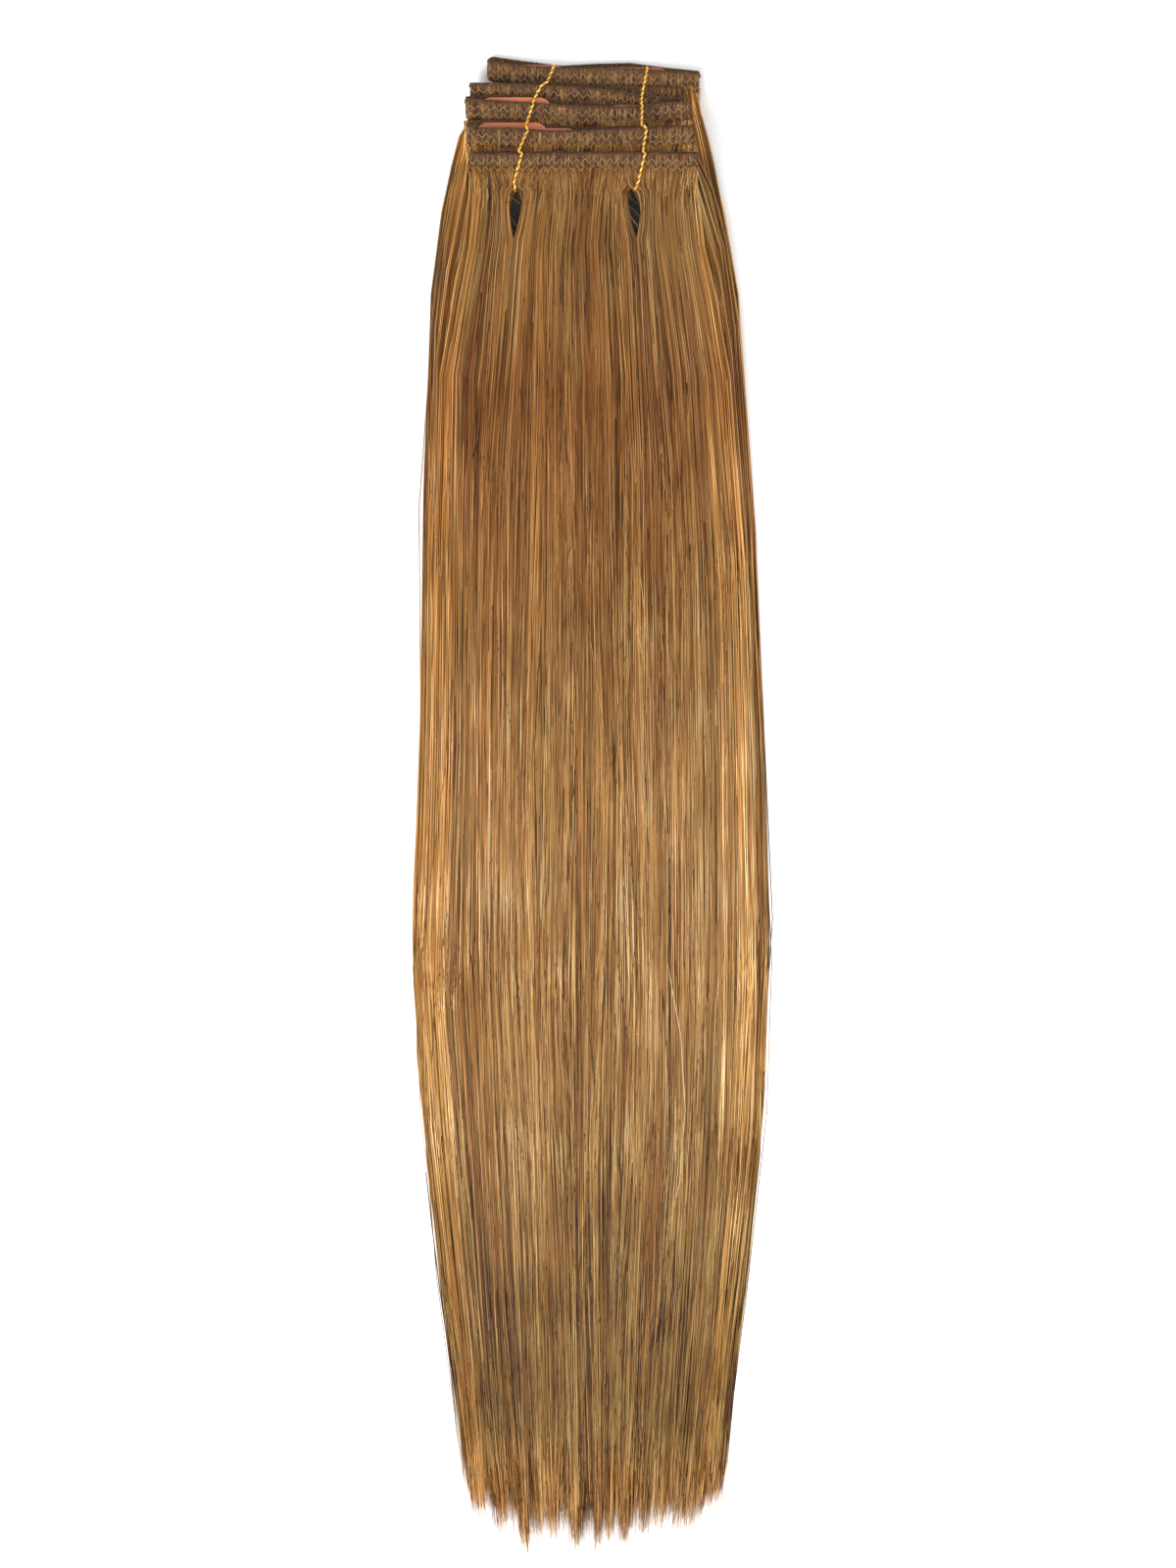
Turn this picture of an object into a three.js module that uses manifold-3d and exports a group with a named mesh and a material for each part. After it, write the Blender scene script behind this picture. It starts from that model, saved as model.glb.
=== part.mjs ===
// A clip-in hair extension as it is packed: five wefts of long straight hair, each folded in half
// over its snap clips, stacked with their sewn bands in steps, and tied twice with gold elastic.
// It lies flat, with the bands at +Y, the tips at -Y and the front weft on top.
// Millimetres, +Z up. "Down" is the distance below the back weft's top edge, so y = -down.

import * as THREE from 'three';
import { mergeVertices } from 'three/addons/utils/BufferGeometryUtils.js';
import Module from 'manifold-3d';

const wasm = await Module();
wasm.setup();

const { clamp, lerp, smoothstep } = THREE.MathUtils;

// Sewn bands
const BAND_HEIGHT = 8;
const BAND_WALL = 1.3;
const BAND_PITCH = 9.5;
const FOLDED_WIDTH = 88;

// Hair
const HAIR_LENGTH = 570;
const BUNDLE_WIDTH = 140;
const FAN_LENGTH = 80;
const TIP_LENGTH = 26;
const TIP_SPREAD = 14;
const SIDE_SHORTFALL = 22;

// Snap clips
const CLIP_LENGTH = 28;
const CLIP_WIDTH = 11;
const CLIP_PLATE = 0.7;
const CLIP_ARCH = 0.7;
const CLIP_SLOT = 1.2;
const CLIP_TONGUE = 3;
const CLIP_EYELET = 1.5;
const CLIP_ROOM = 3;

// Elastic ties, and the teardrop openings that they pull in the hair
const TIE_DIAMETER = 1.3;
const HOLE_WIDTH = 5;
const HOLE_LENGTH = 20;
const HOLE_BELOW_BAND = 5.6;

// Clearance between any two pieces that touch
const PIECE_GAP = 0.3;

// The grooves between locks and the point of a lock's tip, as shares of the weft's thickness and of
// the lock's width
const GROOVE_DEPTH = 0.26;
const TIP_POINT = 0.86;

// One row for each weft, the rearmost first. drop is in band pitches. left and right are the ends of
// the folded band in half folded widths, and fold is the side on which it is folded. frontDrop is how
// far the top edge of its front layer lies below the drop, and backRise how far that of its back
// layer lies above it, in band heights, from the left end to the right one. inset is how much
// narrower its hair lies than the bundle, fan how long it takes to spread, in fan lengths, and reach
// how far it hangs, in hair lengths. A clip's at is its place in the room between the fold and the
// free ends, poke how far it stands above the band's front edge, in band heights, and tier the layer
// that it lies in, from the underside up.
const WEFTS = [
  {
    name: 'back', drop: 0, left: -0.91, right: 0.96, fold: -1,
    inset: 0, fan: 0.3, reach: 0.986, locks: 6,
    frontDrop: [-0.03, 0.14, 0.27, 0.27, 0.28, 0.39, 0.52],
    backRise: [0.32, 0.09, -0.18, -0.08, 0, -0.24, -0.42],
    clips: [
      { side: 'left', at: 0, poke: 0.1, tier: 0 },
      { side: 'right', at: 0.78, poke: 0.1, tier: 0 },
    ],
  },
  {
    name: 'second', drop: 0.9, left: -1.06, right: 0.84, fold: 1,
    inset: 0.02, fan: 0.42, reach: 0.995, locks: 6,
    frontDrop: [-0.04, -0.02, 0.08, 0.18, 0.38, 0.62, 0.72],
    backRise: [0.05, 0.05, 0, 0, -0.1, -0.12, -0.14],
    clips: [
      { side: 'left', at: 0.18, poke: -0.1, tier: 0 },
      { side: 'right', at: 0.96, poke: -0.1, tier: 0 },
    ],
  },
  {
    name: 'third', drop: 1.78, left: -1.1, right: 0.87, fold: 1,
    inset: 0.04, fan: 0.56, reach: 0.978, locks: 7,
    frontDrop: [-0.3, -0.16, -0.04, 0.1, 0.11, -0.02, -0.18],
    backRise: [0.4, 0.5, 0.26, 0, 0.02, 0.05, 0.2],
    clips: [
      { side: 'left', at: 0.09, poke: 0.26, tier: 0 },
      { side: 'right', at: 0.97, poke: 0.07, tier: 0 },
    ],
  },
  {
    name: 'fourth', drop: 2.76, left: -1.09, right: 0.91, fold: -1,
    inset: 0.06, fan: 0.78, reach: 1, locks: 6,
    frontDrop: [0, -0.03, 0.14, 0.1, 0.03, -0.03, -0.1],
    backRise: [0.35, 0.42, 0.2, 0.03, 0.12, 0.1, 0.15],
    clips: [
      { side: 'left', at: 0, poke: 0.3, tier: 0 },
      { side: 'right', at: 0.22, poke: 0.14, tier: 1 },
    ],
  },
  {
    name: 'front', drop: 3.78, left: -1.06, right: 0.945, fold: -1,
    inset: 0.08, fan: 1, reach: 0.992, locks: 8,
    frontDrop: [0.06, 0.04, 0.02, 0, 0.06],
    backRise: [0.06, 0.04, 0.04, 0.05, 0.02],
    clips: [
      { side: 'left', at: 0.14, poke: -0.1, tier: 0 },
      { side: 'right', at: 0.92, poke: -0.1, tier: 0 },
    ],
  },
];

// The whole bundle from the bands to the tips, one row for each section. at is in hair lengths, left
// and right in half bundle widths, rise in stack heights, and rim is the height at the side edges
// as a share of the height in the middle.
const SECTIONS = [
  { at: 0, left: 0.66, right: 0.6, rise: 1, rim: 1 },
  { at: 0.034, left: 0.74, right: 0.66, rise: 1, rim: 1 },
  { at: 0.077, left: 0.805, right: 0.72, rise: 1, rim: 1 },
  { at: 0.143, left: 0.877, right: 0.815, rise: 1.02, rim: 0.84 },
  { at: 0.21, left: 0.918, right: 0.85, rise: 0.98, rim: 0.7 },
  { at: 0.343, left: 0.931, right: 0.941, rise: 0.86, rim: 0.52 },
  { at: 0.51, left: 0.96, right: 0.966, rise: 0.72, rim: 0.44 },
  { at: 0.61, left: 1, right: 0.99, rise: 0.66, rim: 0.43 },
  { at: 0.743, left: 0.887, right: 0.937, rise: 0.54, rim: 0.49 },
  { at: 0.85, left: 0.795, right: 0.83, rise: 0.43, rim: 0.58 },
  { at: 0.943, left: 0.676, right: 0.714, rise: 0.33, rim: 0.72 },
  { at: 1, left: 0.5, right: 0.53, rise: 0.27, rim: 0.8 },
];
const PARTING = 0.85;

// Where each tie crosses each band, in half folded widths: where it comes over the band's top edge,
// and where it leaves the band's face. hole is where it goes down through the hair.
const TIES = [
  {
    name: 'tie_left', hole: -0.66,
    crossings: [
      { enter: -0.325, leave: -0.375 },
      { enter: -0.43, leave: -0.47 },
      { enter: -0.49, leave: -0.565 },
      { enter: -0.54, leave: -0.62 },
      { enter: -0.6, leave: -0.67 },
    ],
  },
  {
    name: 'tie_right', hole: 0.39,
    crossings: [
      { enter: 0.5, leave: 0.46 },
      { enter: 0.455, leave: 0.45 },
      { enter: 0.455, leave: 0.46 },
      { enter: 0.495, leave: 0.465 },
      { enter: 0.48, leave: 0.42 },
    ],
  },
];

const sewnBand = new THREE.MeshStandardMaterial({
  name: 'sewn_band', color: '#6f5036', roughness: 0.85,
});
const humanHair = new THREE.MeshStandardMaterial({
  name: 'human_hair', color: '#a07a4c', roughness: 0.5,
});
const clipEnamel = new THREE.MeshStandardMaterial({
  name: 'clip_enamel', color: '#d08a66', roughness: 0.35,
});
const goldElastic = new THREE.MeshStandardMaterial({
  name: 'gold_elastic', color: '#d99a2b', roughness: 0.3, metalness: 0.8,
});

// A table's column at a place between two of its rows.
function between(rows, at, column) {
  const found = rows.findIndex((row) => row.at >= at);
  const next = found < 0 ? rows.length - 1 : Math.max(found, 1);
  const [low, high] = [rows[next - 1], rows[next]];
  return lerp(low[column], high[column], clamp((at - low.at) / (high.at - low.at), 0, 1));
}

// A list of values spread evenly from the left end (-1) to the right end (1), read at share.
function spread(values, share) {
  const place = clamp((share + 1) / 2, 0, 1) * (values.length - 1);
  const low = Math.min(Math.floor(place), values.length - 2);
  return lerp(values[low], values[low + 1], place - low);
}

// A closed sheet with an upper and a lower face over a grid. Columns run along the sheet's own
// rightward direction and rows downward, so that the upper face looks up.
function closedSheet(columns, rows, upper, lower) {
  const points = [];
  for (const face of [upper, lower]) {
    for (let row = 0; row < rows; row += 1) {
      for (let column = 0; column < columns; column += 1) points.push(...face(column, row).toArray());
    }
  }
  const top = (column, row) => row * columns + column;
  const bottom = (column, row) => columns * rows + top(column, row);
  const triangles = [];
  const quad = (a, b, c, d) => triangles.push(a, b, c, a, c, d);
  for (let row = 0; row < rows - 1; row += 1) {
    for (let column = 0; column < columns - 1; column += 1) {
      const corners = [[column, row], [column, row + 1], [column + 1, row + 1], [column + 1, row]];
      quad(...corners.map(([c, r]) => top(c, r)));
      quad(...corners.reverse().map(([c, r]) => bottom(c, r)));
    }
  }
  const rim = [];
  for (let row = 0; row < rows; row += 1) rim.push([0, row]);
  for (let column = 1; column < columns; column += 1) rim.push([column, rows - 1]);
  for (let row = rows - 2; row >= 0; row -= 1) rim.push([columns - 1, row]);
  for (let column = columns - 2; column > 0; column -= 1) rim.push([column, 0]);
  rim.forEach(([column, row], index) => {
    const [nextColumn, nextRow] = rim[(index + 1) % rim.length];
    quad(top(column, row), bottom(column, row), bottom(nextColumn, nextRow), top(nextColumn, nextRow));
  });
  const geometry = new THREE.BufferGeometry();
  geometry.setAttribute('position', new THREE.Float32BufferAttribute(points, 3));
  geometry.setIndex(triangles);
  return geometry;
}

// Geometry as a solid that can be cut, and back.
function toSolid(geometry) {
  const bare = geometry.clone();
  bare.deleteAttribute('normal');
  bare.deleteAttribute('uv');
  const merged = mergeVertices(bare, 1e-4);
  const vertProperties = merged.getAttribute('position').array;
  const triVerts = new Uint32Array(merged.getIndex().array);
  return new wasm.Manifold(new wasm.Mesh({ numProp: 3, vertProperties, triVerts }));
}

function toGeometry(solid) {
  const { vertProperties, triVerts } = solid.getMesh();
  const geometry = new THREE.BufferGeometry();
  geometry.setAttribute('position', new THREE.BufferAttribute(vertProperties, 3));
  geometry.setIndex(new THREE.BufferAttribute(triVerts, 1));
  geometry.computeVertexNormals();
  return geometry;
}

// Levels. Each weft is as thick as its two band layers and the clips that lie between them.
const halfFolded = FOLDED_WIDTH / 2;
const tieRadius = TIE_DIAMETER / 2;
const clipHeight = CLIP_PLATE + CLIP_ARCH;
const tierHeight = clipHeight + PIECE_GAP;
const lift = TIE_DIAMETER + 2 * PIECE_GAP;

WEFTS.forEach((weft, index) => {
  const tiers = 1 + Math.max(...weft.clips.map((clip) => clip.tier));
  weft.number = index;
  weft.floor = index === 0 ? 0 : WEFTS[index - 1].ceiling;
  weft.ceiling = weft.floor + 2 * BAND_WALL + tiers * tierHeight + 2 * PIECE_GAP;
  weft.top = weft.drop * BAND_PITCH;
});
const frontWeft = WEFTS[WEFTS.length - 1];
const stackHeight = frontWeft.ceiling;

// The top edge of each layer of a band, down from the bundle's top.
const frontEdge = (weft, share) => weft.top + spread(weft.frontDrop, share) * BAND_HEIGHT;
const backEdge = (weft, share) => weft.top - spread(weft.backRise, share) * BAND_HEIGHT;
const bandEnd = (weft, side) => (side < 0 ? weft.left : weft.right) * halfFolded;
const bandShare = (weft, x) => clamp(x / Math.abs(bandEnd(weft, Math.sign(x))), -1, 1);

// Where the holes are, and where the underside comes down to the surface behind the ties.
const holeTop = frontWeft.top + BAND_HEIGHT + HOLE_BELOW_BAND;
const liftedTo = holeTop + HOLE_WIDTH / 2;
const landedAt = holeTop + HOLE_LENGTH + HOLE_WIDTH;

const sectionAt = (down) => (down - BAND_HEIGHT) / HAIR_LENGTH;
const downAt = (at) => BAND_HEIGHT + at * HAIR_LENGTH;

// How far the bundle reaches on one side, and the level of a face between two wefts.
function bundleReach(down, side) {
  return between(SECTIONS, sectionAt(down), side < 0 ? 'left' : 'right') * (BUNDLE_WIDTH / 2);
}

function levelAt(height, x, down) {
  const out = Math.min(Math.abs(x) / bundleReach(down, x), 1);
  const rim = between(SECTIONS, sectionAt(down), 'rim');
  const rise = between(SECTIONS, sectionAt(down), 'rise') * (1 - (1 - rim) * out * out);
  return lift * clamp((landedAt - down) / (landedAt - liftedTo), 0, 1) + height * rise;
}

const bandFloor = (weft) => lift + weft.floor;
const bandCeiling = (weft) => lift + weft.ceiling - PIECE_GAP;
const foldRadius = (weft) => (bandCeiling(weft) - bandFloor(weft) - BAND_WALL) / 2;
const foldStart = (weft) => bandEnd(weft, weft.fold) - weft.fold * (foldRadius(weft) + BAND_WALL / 2);

// The folded band, from the free end of its back layer round the fold to that of its front layer.
function foldedBand(weft) {
  const steps = 6;
  const turns = 4;
  const backLevel = bandFloor(weft) + BAND_WALL / 2;
  const frontLevel = bandCeiling(weft) - BAND_WALL / 2;
  const radius = foldRadius(weft);
  const free = bandEnd(weft, -weft.fold);
  const turnStart = foldStart(weft);
  const path = [];
  for (let step = 0; step <= steps; step += 1) {
    const x = lerp(free, turnStart, step / steps);
    path.push({ x, z: backLevel, edge: backEdge(weft, bandShare(weft, x)), angle: 0 });
  }
  for (let turn = 1; turn < turns; turn += 1) {
    const angle = (Math.PI * turn) / turns;
    path.push({
      x: turnStart + weft.fold * radius * Math.sin(angle),
      z: backLevel + radius * (1 - Math.cos(angle)),
      edge: lerp(backEdge(weft, weft.fold), frontEdge(weft, weft.fold), turn / turns),
      angle,
    });
  }
  for (let step = 0; step <= steps; step += 1) {
    const x = lerp(turnStart, free, step / steps);
    path.push({ x, z: frontLevel, edge: frontEdge(weft, bandShare(weft, x)), angle: Math.PI });
  }
  // The overlocked roll along the top edge, and the flatter sewn strip below it.
  const profile = [
    { height: 0, wall: 0.55 },
    { height: 0.1, wall: 1 },
    { height: 0.26, wall: 0.8 },
    { height: 1, wall: 0.75 },
  ];
  const face = (side) => (column, row) => {
    const { x, z, edge, angle } = path[column];
    const { height, wall } = profile[row];
    const offset = (side * wall * BAND_WALL) / 2;
    return new THREE.Vector3(
      x - offset * Math.sin(angle),
      -(edge + height * BAND_HEIGHT),
      z + weft.fold * offset * Math.cos(angle),
    );
  };
  return closedSheet(path.length, profile.length, face(1), face(-1));
}

// The columns of a weft's hair: each lock has a groove and two shoulders, and its own tip.
function lockColumns(weft) {
  const wobble = (index) => 0.2 * Math.sin(2.7 * index + 1.9 * weft.number);
  const border = (index) => {
    const shift = index > 0 && index < weft.locks ? wobble(index) : 0;
    return -1 + (2 * (index + shift)) / weft.locks;
  };
  const tip = (index) => {
    const middle = (border(index) + border(index + 1)) / 2;
    const shorter = TIP_SPREAD * (0.5 + 0.5 * Math.sin(2.3 * index + 1.7 * weft.number));
    return downAt(weft.reach) - shorter - SIDE_SHORTFALL * middle * middle;
  };
  const columns = [];
  for (let lock = 0; lock <= weft.locks; lock += 1) {
    const beside = [lock - 1, lock].filter((index) => index >= 0 && index < weft.locks).map(tip);
    columns.push({ share: border(lock), end: Math.min(...beside) - TIP_LENGTH, groove: 1, pull: 0 });
    if (lock === weft.locks) break;
    const middle = (border(lock) + border(lock + 1)) / 2;
    for (const side of [-1, 1]) {
      const share = lerp(middle, side < 0 ? border(lock) : border(lock + 1), 0.5);
      columns.push({ share, end: tip(lock), groove: 0, pull: (middle - share) * TIP_POINT });
    }
  }
  return columns;
}

// The hair of one weft: locks fused into a sheet that fills the weft's own layer of the bundle,
// forked at the band, where the clips lie, and open where the ties go through.
function weftHair(weft) {
  const columns = lockColumns(weft);
  const start = (share) => frontEdge(weft, share) + BAND_HEIGHT + 2 * PIECE_GAP;
  const starts = columns.map(({ share }) => start(share));
  const forkEnd = Math.max(...starts) + Math.max(CLIP_WIDTH - BAND_HEIGHT, 0) + CLIP_ROOM;
  const partAt = downAt(PARTING);
  const stations = [...SECTIONS.map(({ at }) => downAt(at)), liftedTo, landedAt]
    .sort((a, b) => a - b)
    .filter((down, index, all) => index === 0 || down - all[index - 1] > PIECE_GAP)
    .filter((down) => down > forkEnd + PIECE_GAP && down < partAt - PIECE_GAP);
  const upperRows = stations.length + 3;
  const tipRows = [0.36, 0.7, 1];

  const place = (column, row) => {
    const { share, end, pull } = columns[column];
    const tipRow = row - upperRows;
    if (tipRow >= 0) {
      const along = tipRows[tipRow];
      return { down: lerp(partAt, end, along), share: share + pull * along * along };
    }
    if (row === 0) return { down: starts[column], share };
    if (row === 1) return { down: forkEnd, share };
    return { down: row - 2 < stations.length ? stations[row - 2] : partAt, share };
  };
  const plan = (column, row) => {
    const { down, share } = place(column, row);
    const spreadOut = smoothstep(down, start(share), start(share) + weft.fan * FAN_LENGTH);
    const reach = bundleReach(down, share) * (1 - weft.inset);
    const edge = lerp(Math.abs(bandEnd(weft, share < 0 ? -1 : 1)), reach, spreadOut);
    return { x: share * edge, down };
  };
  const upper = (column, row) => {
    const { x, down } = plan(column, row);
    const ceiling = levelAt(weft.ceiling, x, down) - PIECE_GAP;
    const thickness = ceiling - levelAt(weft.floor, x, down);
    const open = smoothstep(down, forkEnd, forkEnd + FAN_LENGTH / 2);
    const groove = columns[column].groove * GROOVE_DEPTH * open * thickness;
    return new THREE.Vector3(x, -down, ceiling - groove);
  };
  const lower = (column, row) => {
    const { x, down } = plan(column, row);
    return new THREE.Vector3(x, -down, levelAt(weft.floor, x, down));
  };
  const sheet = closedSheet(columns.length, upperRows + tipRows.length, upper, lower);

  const forkStart = Math.min(...starts) - BAND_WALL;
  const forkHeight = bandCeiling(weft) - bandFloor(weft) - 2 * BAND_WALL;
  const fork = new THREE.BoxGeometry(2 * BUNDLE_WIDTH, forkEnd - forkStart, forkHeight);
  fork.translate(0, -(forkStart + forkEnd) / 2, (bandCeiling(weft) + bandFloor(weft)) / 2);
  let solid = toSolid(sheet).subtract(toSolid(fork));
  for (const tie of TIES) solid = solid.subtract(toSolid(teardrop(tie)));
  return toGeometry(solid);
}

// The opening that a tie pulls in the hair: round above, pointed below, and right through.
function teardrop(tie) {
  const radius = HOLE_WIDTH / 2;
  const outline = new THREE.Shape();
  outline.moveTo(radius, -radius);
  outline.absarc(0, -radius, radius, 0, Math.PI);
  outline.quadraticCurveTo(-radius, -HOLE_LENGTH / 2, 0, -HOLE_LENGTH);
  outline.quadraticCurveTo(radius, -HOLE_LENGTH / 2, radius, -radius);
  const depth = stackHeight * 2;
  const opening = new THREE.ExtrudeGeometry(outline, { depth, bevelEnabled: false, curveSegments: 5 });
  opening.translate(tie.hole * halfFolded, -holeTop, -stackHeight / 2);
  return opening;
}

// An arc as a few straight steps, added to a path.
function addArc(path, x, y, radius, from, to, steps) {
  for (let step = 0; step <= steps; step += 1) {
    const angle = lerp(from, to, step / steps);
    path.lineTo(x + radius * Math.cos(angle), y + radius * Math.sin(angle));
  }
}

// A snap clip: an arched plate with round ends, cut in a U that leaves a tongue, with two eyelets.
function snapClip() {
  const half = CLIP_LENGTH / 2;
  const edge = CLIP_WIDTH / 2;
  const corner = edge * 0.8;
  const flat = half * 0.4;
  const slotEnd = half - 0.75 * CLIP_WIDTH;
  const eyeletPlace = half - 0.27 * CLIP_WIDTH;
  const plate = new THREE.Shape();
  plate.moveTo(-flat, -edge);
  plate.lineTo(flat, -edge);
  addArc(plate, half - corner, -edge + corner, corner, -Math.PI / 2, 0, 2);
  addArc(plate, half - corner, edge - corner, corner, 0, Math.PI / 2, 2);
  for (const x of [flat, -flat]) plate.lineTo(x, edge);
  addArc(plate, -half + corner, edge - corner, corner, Math.PI / 2, Math.PI, 2);
  addArc(plate, -half + corner, -edge + corner, corner, Math.PI, 1.5 * Math.PI, 2);

  const inner = CLIP_TONGUE / 2;
  const outer = inner + CLIP_SLOT;
  const slot = new THREE.Path();
  slot.moveTo(-slotEnd, -outer);
  slot.lineTo(flat, -outer);
  addArc(slot, slotEnd, 0, outer, -Math.PI / 2, Math.PI / 2, 3);
  for (const x of [flat, -slotEnd]) slot.lineTo(x, outer);
  for (const x of [-slotEnd, flat]) slot.lineTo(x, inner);
  addArc(slot, slotEnd, 0, inner, Math.PI / 2, -Math.PI / 2, 2);
  for (const x of [flat, -slotEnd]) slot.lineTo(x, -inner);
  plate.holes.push(slot);
  for (const side of [-1, 1]) {
    const eyelet = new THREE.Path();
    const radius = CLIP_EYELET / 2;
    eyelet.moveTo(side * eyeletPlace + radius, 0);
    addArc(eyelet, side * eyeletPlace, 0, radius, -Math.PI / 3, (-5 * Math.PI) / 3, 4);
    plate.holes.push(eyelet);
  }

  const geometry = new THREE.ExtrudeGeometry(plate, { depth: CLIP_PLATE, bevelEnabled: false });
  const position = geometry.getAttribute('position');
  for (let index = 0; index < position.count; index += 1) {
    const arch = CLIP_ARCH * clamp((half - Math.abs(position.getX(index))) / (half - flat), 0, 1);
    position.setZ(index, position.getZ(index) + arch);
  }
  geometry.computeVertexNormals();
  return geometry;
}

// A tie's route is smooth, and its steps follow its own points, which lie closer at the bends.
class TieRoute extends THREE.CatmullRomCurve3 {
  getPointAt(share) {
    return this.getPoint(share);
  }

  getTangentAt(share) {
    return this.getTangent(share);
  }
}

// A loop of elastic: over the bands' top edges, down through the hole, back under the hair and up
// round the back weft's top edge.
function tieLoop(tie) {
  const clear = tieRadius + PIECE_GAP;
  const under = lift / 2;
  const holeX = tie.hole * halfFolded;
  const [first] = tie.crossings;
  const firstX = first.enter * halfFolded;
  const [backWeft] = WEFTS;
  const wrap = backEdge(backWeft, bandShare(backWeft, firstX)) - clear;
  const surface = bandCeiling(frontWeft) + clear;
  const inHole = holeTop + clear + PIECE_GAP;
  const point = (x, down, z) => new THREE.Vector3(x, -down, z);
  const beneath = (share) => point(lerp(holeX, firstX, share), lerp(inHole, wrap, share), under);

  const points = [
    point(holeX, inHole, under + 2.4 * clear),
    point(holeX, inHole - 0.35 * clear, under + 0.55 * clear),
    ...[0.04, 0.2, 0.5, 0.8, 0.95].map(beneath),
    point(firstX, wrap - 0.1 * clear, under + 0.5 * clear),
    point(firstX, wrap - 0.35 * clear, under + 1.7 * clear),
    point(firstX, wrap - 0.35 * clear, bandCeiling(backWeft) - 1.2 * clear),
  ];
  tie.crossings.forEach(({ enter, leave }, index) => {
    const weft = WEFTS[index];
    const x = enter * halfFolded;
    const edge = frontEdge(weft, bandShare(weft, x));
    points.push(point(x, edge - 0.3 * clear, bandCeiling(weft) + 1.1 * clear));
    const next = WEFTS[index + 1];
    if (!next) return;
    const leaveX = leave * halfFolded;
    const nextEdge = frontEdge(next, bandShare(next, leaveX));
    const level = lerp(bandCeiling(weft), bandCeiling(next), 0.62) + 1.05 * clear;
    points.push(point(leaveX, lerp(edge, nextEdge, 0.62), level));
  });
  const lastX = tie.crossings[tie.crossings.length - 1].leave * halfFolded;
  const bandLow = frontWeft.top + BAND_HEIGHT;
  points.push(
    point(lerp(points[points.length - 1].x, lastX, 0.6), bandLow - PIECE_GAP, surface + 0.1 * clear),
    point(lastX, lerp(bandLow, inHole, 0.7), surface + 0.05 * clear),
    point(holeX, inHole - 0.3 * clear, surface - 0.5 * clear),
    point(holeX, inHole, surface - 2.2 * clear),
    point(holeX, inHole, lerp(under, surface, 0.5)),
  );
  const route = new TieRoute(points, true, 'centripetal');
  return new THREE.TubeGeometry(route, points.length * 2, tieRadius, 8, true);
}

// The middle of a clip, in the room that it has between the fold and the band's free ends.
function clipPlace(weft, clip) {
  const ends = [foldStart(weft), bandEnd(weft, -weft.fold)].sort((a, b) => a - b);
  const margin = CLIP_LENGTH / 2 + PIECE_GAP;
  return lerp(ends[0] + margin, ends[1] - margin, clip.at);
}

function piece(name, geometry, material) {
  const mesh = new THREE.Mesh(geometry, material);
  mesh.name = name;
  return mesh;
}

const bundle = new THREE.Group();
for (const weft of WEFTS) {
  const assembly = new THREE.Group();
  assembly.add(piece(`${weft.name}_weft_band`, foldedBand(weft), sewnBand));
  assembly.add(piece(`${weft.name}_weft_hair`, weftHair(weft), humanHair));
  for (const clip of weft.clips) {
    const mesh = piece(`${weft.name}_weft_clip_${clip.side}`, snapClip(), clipEnamel);
    const x = clipPlace(weft, clip);
    const upperEdge = frontEdge(weft, bandShare(weft, x)) - clip.poke * BAND_HEIGHT;
    const level = bandFloor(weft) + BAND_WALL + PIECE_GAP + clip.tier * tierHeight;
    mesh.position.set(x, -(upperEdge + CLIP_WIDTH / 2), level);
    assembly.add(mesh);
  }
  bundle.add(assembly);
}
for (const tie of TIES) bundle.add(piece(tie.name, tieLoop(tie), goldElastic));

// The origin is the middle of the bundle's box, on the surface that it lies on.
const extent = new THREE.Box3().setFromObject(bundle);
const middle = extent.getCenter(new THREE.Vector3());
bundle.position.set(-middle.x, -middle.y, -extent.min.z);

export default bundle;
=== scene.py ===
# A clip-in hair extension as it is packed: five wefts of long straight hair, each folded in half
# over its snap clips, stacked with their sewn bands in steps, and tied twice with gold elastic.
# It lies flat with the bands at +Y and the front weft on top. Everything is in metres.
import math

import bmesh
import bpy
import numpy as np
from mathutils import Matrix, Vector
from mathutils.bvhtree import BVHTree


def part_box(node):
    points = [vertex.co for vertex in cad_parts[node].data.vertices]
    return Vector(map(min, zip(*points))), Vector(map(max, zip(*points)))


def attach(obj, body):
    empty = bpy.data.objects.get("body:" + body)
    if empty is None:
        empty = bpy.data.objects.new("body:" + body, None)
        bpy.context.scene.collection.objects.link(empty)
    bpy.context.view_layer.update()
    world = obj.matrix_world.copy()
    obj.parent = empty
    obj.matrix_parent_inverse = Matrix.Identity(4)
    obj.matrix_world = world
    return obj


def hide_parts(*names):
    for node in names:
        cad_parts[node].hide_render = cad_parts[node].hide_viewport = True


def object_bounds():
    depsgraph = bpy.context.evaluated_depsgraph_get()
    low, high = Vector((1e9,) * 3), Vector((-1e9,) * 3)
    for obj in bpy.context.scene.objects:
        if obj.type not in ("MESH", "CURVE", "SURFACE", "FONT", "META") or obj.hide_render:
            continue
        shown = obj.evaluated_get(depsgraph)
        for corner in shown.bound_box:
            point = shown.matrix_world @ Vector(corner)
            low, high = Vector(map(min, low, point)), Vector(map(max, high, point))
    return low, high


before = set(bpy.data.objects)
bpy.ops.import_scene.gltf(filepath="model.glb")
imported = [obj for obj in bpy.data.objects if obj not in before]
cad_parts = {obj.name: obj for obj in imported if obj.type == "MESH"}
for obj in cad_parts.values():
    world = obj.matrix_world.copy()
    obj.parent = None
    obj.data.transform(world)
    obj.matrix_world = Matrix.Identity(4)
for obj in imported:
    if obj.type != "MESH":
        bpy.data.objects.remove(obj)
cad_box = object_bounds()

MM = 0.001


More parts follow.
